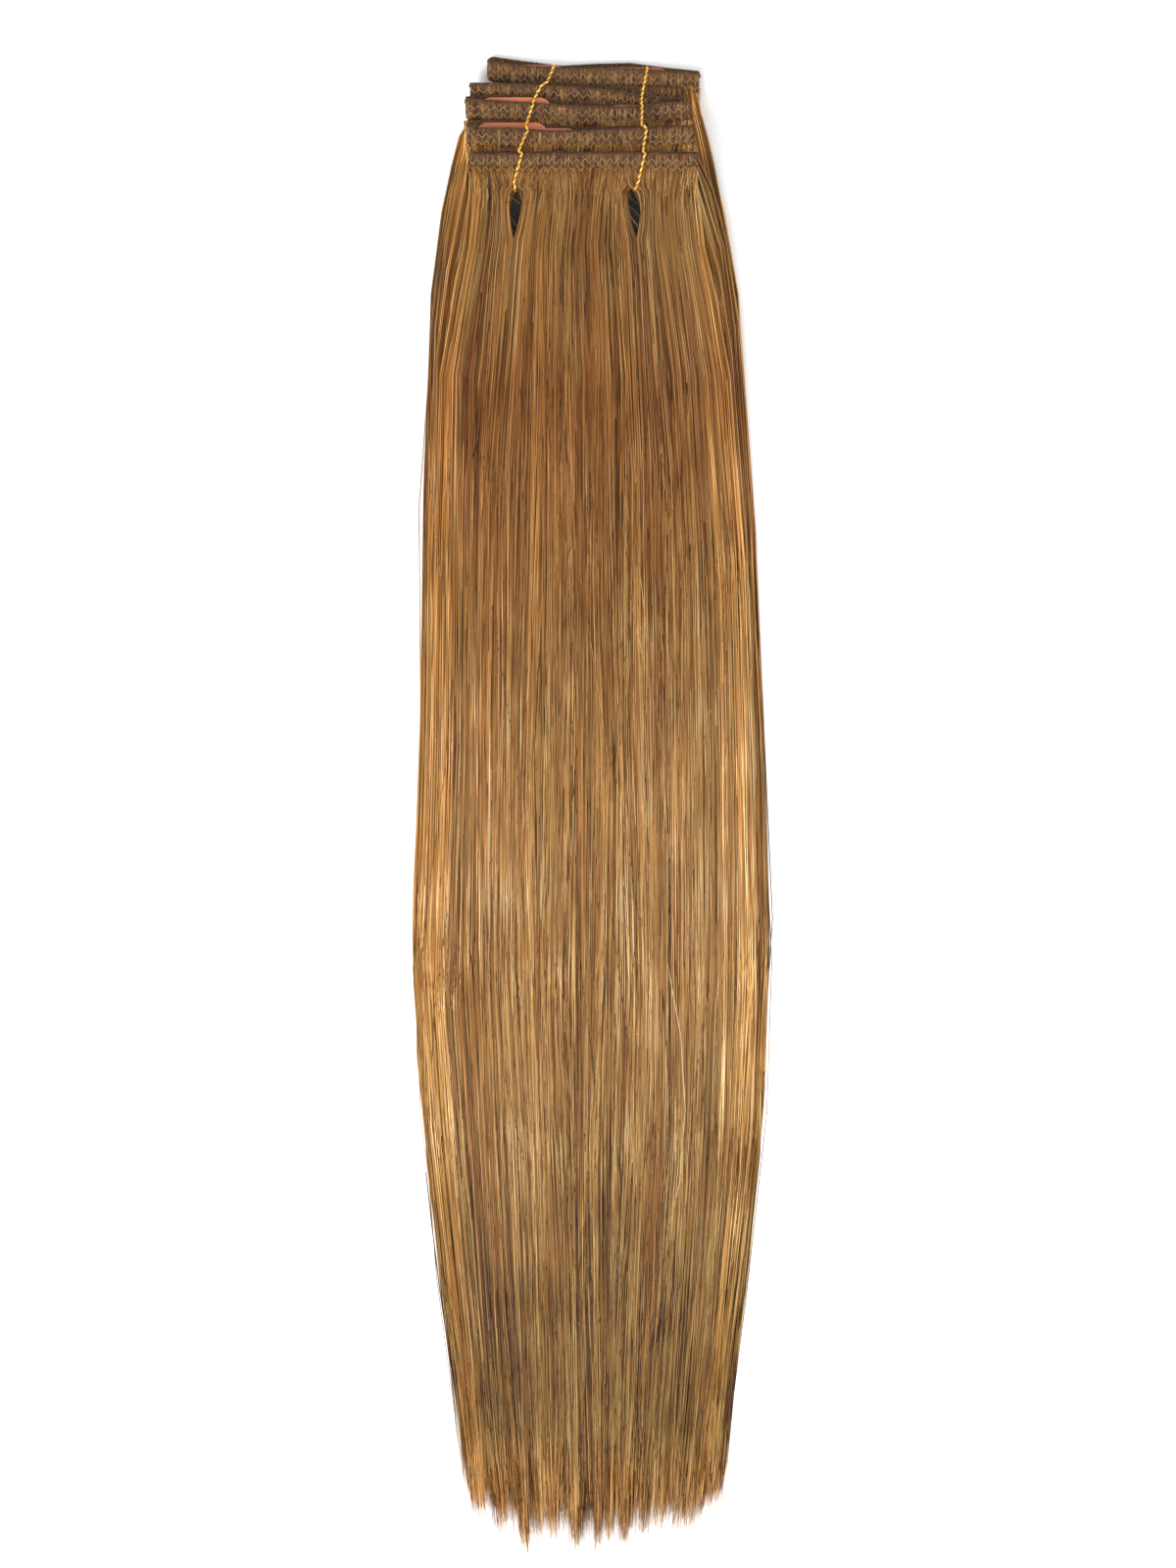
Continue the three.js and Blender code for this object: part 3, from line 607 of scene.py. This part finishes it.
def ring_places(start, end, layout, chance):
    """Where the strands' rings lie: evenly, or close together at the roots or beside the holes."""
    if layout == "root":
        return start[:, None] + (end - start)[:, None] * np.array([0, 0.22, 0.5, 1])
    if layout == "short":
        return start[:, None] + (end - start)[:, None] * np.linspace(0, 1, 6)
    if layout == "beside_hole":
        offsets = np.array([4.5, 2, 0, -1.4, -3.4, -7, -11, -15.5, -20, -31]) * MM
        beside = np.tile(HOLE_TOP + offsets, (len(start), 1))
        fixed = np.concatenate([start[:, None], beside], axis=1)
    else:
        fixed = start[:, None] - np.array([0, 5, 11, 19, 30, 48, 80]) * MM
    even = np.array([0.18, 0.36, 0.54, 0.7, 0.84, 0.94, 1])
    rest = even + chance.uniform(-0.04, 0.04, (len(start), len(even)))
    rest[:, -1] = 1
    return np.concatenate([fixed, fixed[:, -1:] + (end[:, None] - fixed[:, -1:]) * rest], axis=1)


def combed(lay, chance, share, start, end, through, layout, wander):
    """Loose strands from start to end, places along the hair. through is where they lie between the
    lower face (0) and the upper one (1), and wander how far they stray across."""
    count, share = len(share), share[:, None]
    y = ring_places(start, end, layout, chance)
    rings = y.shape[1]
    # The hair flows in locks together, and each strand strays a little from its own line.
    flow = (0.014 * np.sin(7 * share + y / 0.05 + 1.3) + 0.01 * np.sin(19 * share - y / 0.036)
            + 0.007 * np.sin(43 * share + y / 0.042 + 0.4))
    # Just below the bands it bows to the left, except on the right and where the ties hold it.
    near = np.exp(-((lay["band_low"] - 0.024 - y) / 0.02) ** 2)
    sway = -0.08 * np.clip((0.6 - share) / 0.3, -0.4, 1) * near
    sway = sway * np.clip((1 - np.abs(share)) / 0.3, 0, 1)
    for hole in HOLES:
        sway = sway * (1 - np.exp(-((share - hole_share(lay, hole)) / 0.13) ** 2))
    wander = wander * np.where(chance.random((count, 1)) < 0.2, 3.2, 1.2)
    stray = wander * chance.normal(size=(count, 1)) * np.sin(
        y / (0.035 + 0.06 * chance.random((count, 1))) + 6.3 * chance.random((count, 1)))
    below_band = np.clip((lay["band_low"] - y) / 0.06, 0, 1)
    calm = below_band * np.clip(1.25 - np.abs(share), 0.4, 1)
    # Near the tips some strands draw together into tufts and others part from them.
    centres = TUFTS[np.abs(TUFTS[None] - share).argmin(1)][:, None]
    tail = np.clip((end[:, None] + TAIL_LENGTH - y) / TAIL_LENGTH, 0, 1)
    gather = chance.uniform(0, 0.85, (count, 1)) * tail ** 1.6
    lines = share + (flow + sway + stray) * calm + 0.022 * chance.normal(size=(count, 1)) * tail ** 2
    lines = lines + (centres - lines) * gather
    x = across_at(lay, lines, y)
    # The roots come out of the band at a slant, this way and that.
    rooted = np.clip(1 - (lay["band_low"] - y) / (14 * MM), 0, 1.2) ** 1.6
    slant = 1.5 * MM * np.sin(x[:, :1] / (4.4 * MM) + 0.7)
    origin = x[:, :1] + slant + 0.6 * MM * np.sin(x[:, :1] / (1.7 * MM))
    ends = [lay["middle"] + side * reach_at(lay, side > 0, lay["places"][0]) for side in (-1, 1)]
    origin = np.clip(origin + chance.normal(0, 0.9 * MM, (count, 1)), *ends)
    x = x + (origin - x[:, :1]) * rooted
    inside = np.clip(lines, -0.985, 0.985)
    upper, lower = level_at(lay, 0, inside, y), level_at(lay, 1, inside, y)
    weave = 0.16 * MM * np.sin(
        y / (0.02 + 0.02 * chance.random((count, 1))) + 6.3 * chance.random((count, 1)))
    z = lower + (upper - lower) * chance.uniform(*through, (count, 1)) + weave
    # The upper ones leave the band over its face, from under the lower row of stitches.
    over_the_face = through[1] > 1
    if over_the_face:
        on_band = lay["band_top"] + chance.uniform(-0.1, 0.2, (count, 1)) * MM
        z = z + (on_band - z) * np.clip((y - lay["band_low"]) / (4 * MM) + 1, 0, 1)
    paths = np.stack([x, y, np.maximum(z, STRAND_RADIUS * 1.1)], -1)
    radii = STRAND_RADIUS * chance.uniform(0.6, 1.35, (count, 1)) * (1 - 0.75 * tail ** 1.5)
    points, quads, caps = tubes(paths, radii, 3)
    # A strand's tone is picked near its own place, and turned back inwards at the two sides.
    tone = np.round((0.5 + 0.48 * share) * TONES + chance.normal(0, TONE_SPREAD, (count, 1)))
    first, last = TONE_MARGIN, TONES - 1 - TONE_MARGIN
    tone = first + np.abs(tone - first)
    tone = last - np.abs(last - tone)
    u = (tone[:, :, None] + 0.5 + np.array([-0.3, 0, 0.3])) / TONES * np.ones((1, rings, 1))
    v = along_at(y)[:, :, None] * np.ones((1, 1, 3))
    maps = np.stack([u, v], -1).reshape(-1, 2)
    cap_maps = [maps[cap] + np.array([[0, 0], [0, 0.003], [0, 0]]) for cap in caps]
    return points, [quads, *caps], [maps[quads], *cap_maps]


def hair_of(weft, groups, seed, with_body=True):
    """One weft's hair as one mesh: its body and its strands, with a map of tone and place."""
    chance = np.random.default_rng(seed)
    lay = lay_of(weft)
    hole_lines = [hole_share(lay, hole) for hole in HOLES]

    def tip(share):
        away = np.abs(TUFTS[None] - share[:, None])
        pointed = 15 * MM * np.clip(away.min(1) / 0.06, 0, 1) ** 1.5
        ragged = 22 * MM * chance.random(len(share)) ** 0.4
        short = pointed * chance.uniform(0.3, 1, len(share))
        return tip_line(share) + TUFT_ENDS[away.argmin(1)] + short + ragged

    def root(share):
        return lay["band_low"] + (2.4 + chance.uniform(-0.5, 0.5, len(share))) * MM

    points, faces, maps, offset = [], [], [], 0
    borders = [-0.97, *hole_lines, 0.97] if with_body else []
    for left, right in zip(borders[:-1], borders[1:]):
        more, quads, quad_maps = body_lobe(lay, left, right, chance)
        points.append(more)
        faces.append(quads + offset)
        maps.append(quad_maps)
        offset += len(more)

    combings = []
    depths = {"face": (0.9, 1.06), "sides": (0.1, 0.95), "under": (-0.03, 0.12)}
    for group, through in depths.items():
        share = chance.uniform(-0.96, 0.96, groups[group])
        if group == "sides":
            share = np.sign(share) * (1 - 0.16 * chance.random(len(share)) ** 1.2)
        near = np.min([np.abs(share - line) for line in hole_lines], axis=0) < 0.16
        for part, layout in [(share[near], "beside_hole"), (share[~near], "open")]:
            combings.append((part, root(part), tip(part), through, layout, 0.011))
    share = chance.uniform(-0.97, 0.97, groups["roots"])
    root_end = np.full(len(share), lay["band_low"] - ROOT_LENGTH)
    combings.append((share, root(share), root_end, (0.8, 1.05), "root", 0.0))
    share = chance.uniform(-1, 1, groups["tips"])
    tips_start = cad_box[0].y + chance.uniform(0.09, 0.16, len(share))
    combings.append((share, tips_start, tip(share), (0.1, 1.0), "short", 0.02))
    share = chance.uniform(-1.0, 1.0, groups["stray"])
    stray_start = chance.uniform(-0.2, 0.2, len(share))
    stray_end = np.maximum(stray_start - chance.uniform(0.06, 0.2, len(share)), tip(share))
    combings.append((share, stray_start, stray_end, (1.03, 1.16), "short", 0.05))
    for share, start, end, through, layout, wander in combings:
        if not len(share):
            continue
        more, more_faces, more_maps = combed(
            lay, chance, share, start, end, through, layout, wander)
        points.append(more)
        faces += [part + offset for part in more_faces]
        maps += more_maps
        offset += len(more)
    mesh = plain_mesh(f"{weft}_hair", np.concatenate(points), faces, human_hair)
    layer = mesh.uv_layers.new(name="OFBake")
    layer.data.foreach_set("uv", np.concatenate([part.reshape(-1, 2) for part in maps]).ravel())
    return mesh


# Human hair, dyed light golden brown: silky, in fine lengthways streaks from dark brown to straw.
# The streaks follow the map: one column for each tone of strand, drawn about 0.5 mm wide in place
# of 0.07 mm. Painted shade and light run slowly along the length: painted shade just below the
# bands and in two darker bands further down, painted light past the middle and at the tips.
human_hair, tree, shader = new_material("straight_human_hair")
spot = add(tree, "ShaderNodeUVMap", uv_map="OFBake").outputs[0]
apart = add(tree, "ShaderNodeSeparateXYZ", {0: spot})
wide = add(tree, "ShaderNodeMath", {0: apart.outputs[0], 1: float(TONES)}, operation="MULTIPLY")
column = add(tree, "ShaderNodeMath", {0: wide.outputs[0]}, operation="FLOOR")
own_tone = add(tree, "ShaderNodeTexWhiteNoise", {"W": column.outputs[0]}, noise_dimensions="1D")


def streaks(across, along, detail):
    """Noise in streaks: so many across the hair and so many along it."""
    stretched = add(tree, "ShaderNodeMapping", {"Vector": spot, "Scale": (across, along, 1)})
    noise = add(tree, "ShaderNodeTexNoise", {
        "Vector": stretched.outputs[0], "Scale": 1.0, "Detail": detail})
    return noise.outputs[0]


def weighted(parts):
    """The sum of sockets, each by its own weight."""
    total = 0.0
    for socket, weight in parts:
        step = add(tree, "ShaderNodeMath", {0: socket, 1: weight, 2: total},
                   operation="MULTIPLY_ADD")
        total = step.outputs[0]
    return total


tone = weighted([(own_tone.outputs[0], 0.75), (streaks(256, 17, 1), 1.1), (streaks(120, 11, 1), 0.4),
                 (streaks(30, 5, 1), 0.15), (streaks(8, 2.2, 0), 0.1)])
tone_share = add(tree, "ShaderNodeMapRange", {
    "Value": tone, "From Min": 0.75, "From Max": 1.75}, clamp=False)
apart_tone = add(tree, "ShaderNodeMath", {0: tone_share.outputs[0], 1: 0.5}, operation="SUBTRACT")
spread_out = add(tree, "ShaderNodeMapRange", {
    "Value": apart.outputs[1], "From Min": 0.7, "From Max": 0.9, "To Min": 1.0, "To Max": 1.75})
contrast = add(tree, "ShaderNodeMath", {0: apart_tone.outputs[0], 1: spread_out.outputs[0], 2: 0.5},
               operation="MULTIPLY_ADD")
strand_tone_colour = ramp(tree, contrast.outputs[0], [
    (0.0, "#2f1a0b"), (0.2, "#593819"), (0.4, "#7c5429"), (0.58, "#946a35"), (0.78, "#b18850"),
    (1.0, "#dcbd8b")])
# The painted shade and light are scaled down here and up again below, because a ramp's colours stop at
# 1.
# Painted shade and light along the hair's length, darker below the bands and paler past the middle.
painted_shade_and_light = ramp(tree, apart.outputs[1], [
    (0.062, "#d8d2be"), (0.075, "#aaa697"), (0.1, "#aaa898"), (0.16, "#afac9e"), (0.225, "#a5967d"),
    (0.29, "#afa390"), (0.36, "#b5af9d"), (0.42, "#babbb3"), (0.49, "#c8cfd3"), (0.56, "#c8d0d8"),
    (0.62, "#c8cbcc"), (0.685, "#c1c7cb"), (0.75, "#b4b6ad"), (0.82, "#99957f"), (0.885, "#8d8566"),
    (0.92, "#928b6c"), (0.95, "#b6ad98"), (0.975, "#d8cdb8")])
# Painted light at the sides: the thin edges are painted paler, for the light that they let through, and
# the hair just inside them is painted darker.
edge = ramp(tree, apart.outputs[0], [
    (0.035, 1.0), (0.055, 0.82), (0.08, 0.57), (0.115, 0.52), (0.15, 0.68), (0.2, 0.64),
    (0.77, 0.62), (0.84, 0.56), (0.92, 0.52), (0.945, 0.8), (0.965, 1.0)])
red = add(tree, "ShaderNodeMapRange", {"Value": streaks(210, 3, 0), "From Min": 0.58, "From Max": 0.72})
reddish = add(tree, "ShaderNodeMix", {
    0: red.outputs[0], 6: (3.36, 3.38, 3.48, 1), 7: (3.75, 2.85, 2.55, 1)}, data_type="RGBA")
with_painted_shade_and_light = add(tree, "ShaderNodeVectorMath", {0: strand_tone_colour, 1: painted_shade_and_light}, operation="MULTIPLY")
with_painted_edge_light = add(tree, "ShaderNodeVectorMath", {0: with_painted_shade_and_light.outputs[0], 1: edge}, operation="MULTIPLY")
dyed = add(tree, "ShaderNodeVectorMath", {0: with_painted_edge_light.outputs[0], 1: reddish.outputs[2]},
           operation="MULTIPLY")
tree.links.new(dyed.outputs[0], shader.inputs["Base Color"])
shader.inputs["Roughness"].default_value = 0.42
shader.inputs["Specular IOR Level"].default_value = 0.22

for seed, weft in enumerate(STRANDS):
    node = f"{weft}_weft_hair"
    piece_of(f"{node}_combed", hair_of(weft, STRANDS[weft], seed + 1), "hair", node)
piece_of("front_weft_hair_on_top", hair_of("front", OVER_FRONT, 9, with_body=False),
         "hair", "front_weft_hair")


# ---- Snap clips: spring steel stamped with a U-shaped slot and two eyelets, arched so that they
# snap shut, and coated in glossy peach enamel. They lie inside the folded bands.
clip_enamel, tree, shader = new_material("peach_enamel_on_spring_steel")
place = add(tree, "ShaderNodeTexCoord").outputs["Object"]
# Enamel that is dipped and baked: smooth and wet-looking, with a faint cloudiness in its colour.
cloud = add(tree, "ShaderNodeTexNoise", {"Vector": place, "Scale": 120.0, "Detail": 1.0})
enamel = add(tree, "ShaderNodeMix", {
    0: cloud.outputs[0], 6: linear("#ae552b"), 7: linear("#c96f41")}, data_type="RGBA")
tree.links.new(enamel.outputs[2], shader.inputs["Base Color"])
shader.inputs["Roughness"].default_value = 0.22
shader.inputs["Coat Weight"].default_value = 0.5
CLIP_LENGTH, CLIP_WIDTH, CLIP_PLATE, CLIP_ARCH = 28 * MM, 11 * MM, 0.7 * MM, 0.7 * MM
# How far the clips have slipped down into the fold, where the front weft's are quite inside.
CLIP_SLIP, FRONT_CLIP_SLIP = 0.45 * MM, 1.4 * MM


def outline(curve, points):
    """Adds a closed outline to a flat curve."""
    spline = curve.splines.new("POLY")
    spline.points.add(len(points) - 1)
    spline.points.foreach_set("co", np.c_[points, np.zeros(len(points)), np.ones(len(points))].ravel())
    spline.use_cyclic_u = True


def round_end(x, y, radius, first, last, count=7):
    """Points on an arc round a middle, between two angles in degrees."""
    angles = np.radians(np.linspace(first, last, count))
    return [(x + radius * math.cos(a), y + radius * math.sin(a)) for a in angles]


def snap_clip():
    """A flat plate with its slot and eyelets, its edges rounded, cut across and then arched."""
    curve = bpy.data.curves.new("snap_clip", "CURVE")
    curve.dimensions, curve.fill_mode = "2D", "BOTH"
    rounding = 0.16 * MM
    curve.extrude, curve.bevel_depth, curve.bevel_resolution = CLIP_PLATE / 2 - rounding, rounding, 1
    half, edge = CLIP_LENGTH / 2 - rounding, CLIP_WIDTH / 2 - rounding
    corner = edge * 0.86
    outline(curve, round_end(half - corner, edge - corner, corner, 0, 90)
            + round_end(corner - half, edge - corner, corner, 90, 180)
            + round_end(corner - half, corner - edge, corner, 180, 270)
            + round_end(half - corner, corner - edge, corner, 270, 360))
    slot_end, inner, outer = half - 0.75 * CLIP_WIDTH, 1.6 * MM, 2.6 * MM
    outline(curve, round_end(slot_end, 0, outer, 90, -90, 9) + [(-slot_end, -outer), (-slot_end, -inner)]
            + round_end(slot_end, 0, inner, -90, 90, 9) + [(-slot_end, inner), (-slot_end, outer)])
    for side in (-1, 1):
        outline(curve, round_end(side * (half - 0.27 * CLIP_WIDTH), 0, 0.85 * MM, 0, -324, 10))
    carrier = bpy.data.objects.new("snap_clip", curve)
    bpy.context.collection.objects.link(carrier)
    mesh = bpy.data.meshes.new_from_object(carrier.evaluated_get(bpy.context.evaluated_depsgraph_get()))
    bpy.data.objects.remove(carrier)
    form = bmesh.new()
    form.from_mesh(mesh)
    bmesh.ops.remove_doubles(form, verts=form.verts, dist=0.00001)
    for x in np.linspace(-half, half, 15)[1:-1]:
        geometry = form.verts[:] + form.edges[:] + form.faces[:]
        bmesh.ops.bisect_plane(form, geom=geometry, plane_co=(x, 0, 0), plane_no=(1, 0, 0))
    bmesh.ops.recalc_face_normals(form, faces=form.faces)
    for vert in form.verts:
        out = min(abs(vert.co.x) / half, 1)
        vert.co.z += CLIP_ARCH * (1 - out ** 2.2) - CLIP_ARCH / 2
    form.to_mesh(mesh)
    form.free()
    mesh.materials.clear()
    mesh.materials.append(clip_enamel)
    mesh.set_sharp_from_angle(angle=math.radians(50))
    return mesh


clip_shape = snap_clip()
for weft in FOLD_SIDE:
    for side in ("left", "right"):
        node = f"{weft}_weft_clip_{side}"
        low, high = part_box(node)
        mesh = clip_shape.copy()
        slip = FRONT_CLIP_SLIP if weft == "front" else CLIP_SLIP
        mesh.transform(Matrix.Translation((low + high) / 2 - Vector((0, slip, 0))))
        piece_of(f"{node}_enamelled", mesh, "clip", node)


# ---- Ties: elastic cord wound with gold metallic yarn, two plies twisted together. Each loop goes
# tautly over the bands' top edges, down through its hole in the hair and back up behind.
TIE_RADIUS = 0.65 * MM
# One turn of the twist, how far a ply winds off the middle, its step, and the two plies' radii.
PLY_PITCH, PLY_OFFSET, PLY_STEP, FILM_PLY, CORE_PLY = (
    2.6 * MM, 0.2 * MM, 0.35 * MM, 0.4 * MM, 0.33 * MM)
HALF_FOLDED, BAND_MIDDLE = 44 * MM, 0.35 * MM
# Where each tie comes over a band's top edge and where it leaves for the next one, in half folded
# widths, the rearmost band first, and where it goes down through the hair.
TIE_CROSSINGS = {
    "tie_left": {"over": [-0.325, -0.43, -0.5, -0.545, -0.6], "off": [-0.38, -0.5, -0.57, -0.63, -0.67],
                 "hole": -0.66},
    "tie_right": {"over": [0.5, 0.455, 0.455, 0.495, 0.48], "off": [0.46, 0.45, 0.45, 0.46, 0.42],
                  "hole": 0.39},
}


def yarn(name, dark, bright, metallic):
    """A wound yarn, its colour mottled by noise from a dark tone to a bright one: the bright patches are
    painted glints.
    """
    material, tree, shader = new_material(name)
    place = add(tree, "ShaderNodeTexCoord").outputs["Object"]
    painted_glint = add(tree, "ShaderNodeTexNoise", {"Vector": place, "Scale": 1300.0, "Detail": 1.0})
    colour = ramp(tree, painted_glint.outputs[0], [(0.38, dark), (0.62, bright)])
    tree.links.new(colour, shader.inputs["Base Color"])
    shader.inputs["Metallic"].default_value = metallic
    shader.inputs["Roughness"].default_value = 0.3
    return material


# Flat metallised film wound round elastic: gold, with painted glints of bright yellow in patches.
gold_yarn = yarn("gold_metallic_yarn", "#e8980c", "#ffee7c", 0.5)
# The second ply, a duller, deeper orange: painted shade for the dark between the gold film's turns.
shaded_ply_yarn = yarn("orange_yarn_painted_shade", "#864606", "#cc7c12", 0.2)


def ply_tree():
    """One ply of a twisted cord, winding round its route."""
    tree, given = new_tree("twisted_ply", Pitch="Float", Offset="Float", Thickness="Float",
                           Turn="Float", Material="Material")
    steps = add(tree, "GeometryNodeResampleCurve", {"Curve": given["Route"], "Length": PLY_STEP},
                mode="LENGTH")
    walked = add(tree, "GeometryNodeSplineParameter").outputs["Length"]
    turns = add(tree, "ShaderNodeMath", {0: walked, 1: given["Pitch"]}, operation="DIVIDE")
    angle = add(tree, "ShaderNodeMath", {0: turns.outputs[0], 1: 2 * math.pi, 2: given["Turn"]},
                operation="MULTIPLY_ADD")
    tangent = add(tree, "GeometryNodeInputTangent").outputs[0]
    normal = add(tree, "GeometryNodeInputNormal").outputs[0]
    side = add(tree, "ShaderNodeVectorMath", {0: tangent, 1: normal}, operation="CROSS_PRODUCT")
    cosine = add(tree, "ShaderNodeMath", {0: angle.outputs[0]}, operation="COSINE")
    sine = add(tree, "ShaderNodeMath", {0: angle.outputs[0]}, operation="SINE")
    one = add(tree, "ShaderNodeVectorMath", {0: normal, "Scale": cosine.outputs[0]},
              operation="SCALE")
    two = add(tree, "ShaderNodeVectorMath", {0: side.outputs[0], "Scale": sine.outputs[0]},
              operation="SCALE")
    both = add(tree, "ShaderNodeVectorMath", {0: one.outputs[0], 1: two.outputs[0]},
               operation="ADD")
    offset = add(tree, "ShaderNodeVectorMath", {0: both.outputs[0], "Scale": given["Offset"]},
                 operation="SCALE")
    moved = add(tree, "GeometryNodeSetPosition", {
        "Geometry": steps.outputs[0], "Offset": offset.outputs[0]})
    profile = add(tree, "GeometryNodeCurvePrimitiveCircle", {
        "Resolution": 6, "Radius": given["Thickness"]})
    ply = add(tree, "GeometryNodeCurveToMesh", {
        "Curve": moved.outputs[0], "Profile Curve": profile.outputs[0]})
    finish_tree(tree, ply.outputs[0], given["Material"])
    return tree


def tie_points(node):
    """The corners of a tie's loop, from the underside at its hole round to its hole again."""
    crossings = TIE_CROSSINGS[node]
    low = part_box(node)[0]
    under, hole = low.z + TIE_RADIUS, BAND_MIDDLE + crossings["hole"] * HALF_FOLDED
    in_hole, front = HOLE_TOP - 1.2 * MM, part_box("front_weft_band")
    over = [BAND_MIDDLE + share * HALF_FOLDED for share in crossings["over"]]
    off = [BAND_MIDDLE + share * HALF_FOLDED for share in crossings["off"]]
    corners = []
    for weft, x in zip(FOLD_SIDE, over):
        band = f"{weft}_weft_band"
        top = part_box(band)[1]
        start = (x, top.y + 10 * MM, top.z - BAND_WALL / 2)
        edge = solid_of(band).ray_cast(start, (0, -1, 0))[0].y
        corners.append((edge - 0.3 * MM, top.z + TIE_RADIUS + 0.25 * MM))
    behind = corners[0][0] + 0.8 * MM
    points = [(hole, in_hole, under + 0.3 * MM), (hole, in_hole + 1 * MM, under),
              (over[0], behind - 0.6 * MM, under), (over[0], behind, under + 0.8 * MM),
              (over[0], behind, corners[0][1] - 1 * MM)]
    short = 1.1 * MM
    for (y, z), x, away, following in zip(corners, over, off, corners[1:] + [None]):
        points.append((x, y, z))
        if following:
            rise = (following[1] - z) / (y - following[0])
            points.append((away, following[0] + short, following[1] - short * rise))
    surface = corners[-1][1]
    return points + [(off[-1], front[0].y - 3 * MM, surface),
                     (hole, in_hole + 0.4 * MM, surface - 0.6 * MM),
                     (hole, in_hole, surface - 2 * MM)]


def taut_loop(points):
    """A closed loop that is straight between its points and a little rounded at each."""
    corners = np.array([*points, points[0]])
    walked = np.concatenate([[0], np.cumsum(np.linalg.norm(np.diff(corners, axis=0), axis=1))])
    even = np.linspace(0, walked[-1], int(walked[-1] / (0.3 * MM)), endpoint=False)
    line = np.stack([np.interp(even, walked, corners[:, axis]) for axis in range(3)], 1)
    return np.mean([np.roll(line, shift, axis=0) for shift in (-2, -1, 0, 1, 2)], axis=0)


ply = ply_tree()
for node in TIE_CROSSINGS:
    route = taut_loop(tie_points(node))
    plies = [made_along(route, ply, closed=True, Pitch=PLY_PITCH, Offset=PLY_OFFSET,
                        Thickness=thick, Turn=turn, Material=made_of)
             for turn, thick, made_of in [(0.0, FILM_PLY, gold_yarn), (math.pi, CORE_PLY, shaded_ply_yarn)]]
    piece_of(f"{node}_twisted", fused(node, plies), "tie", node)
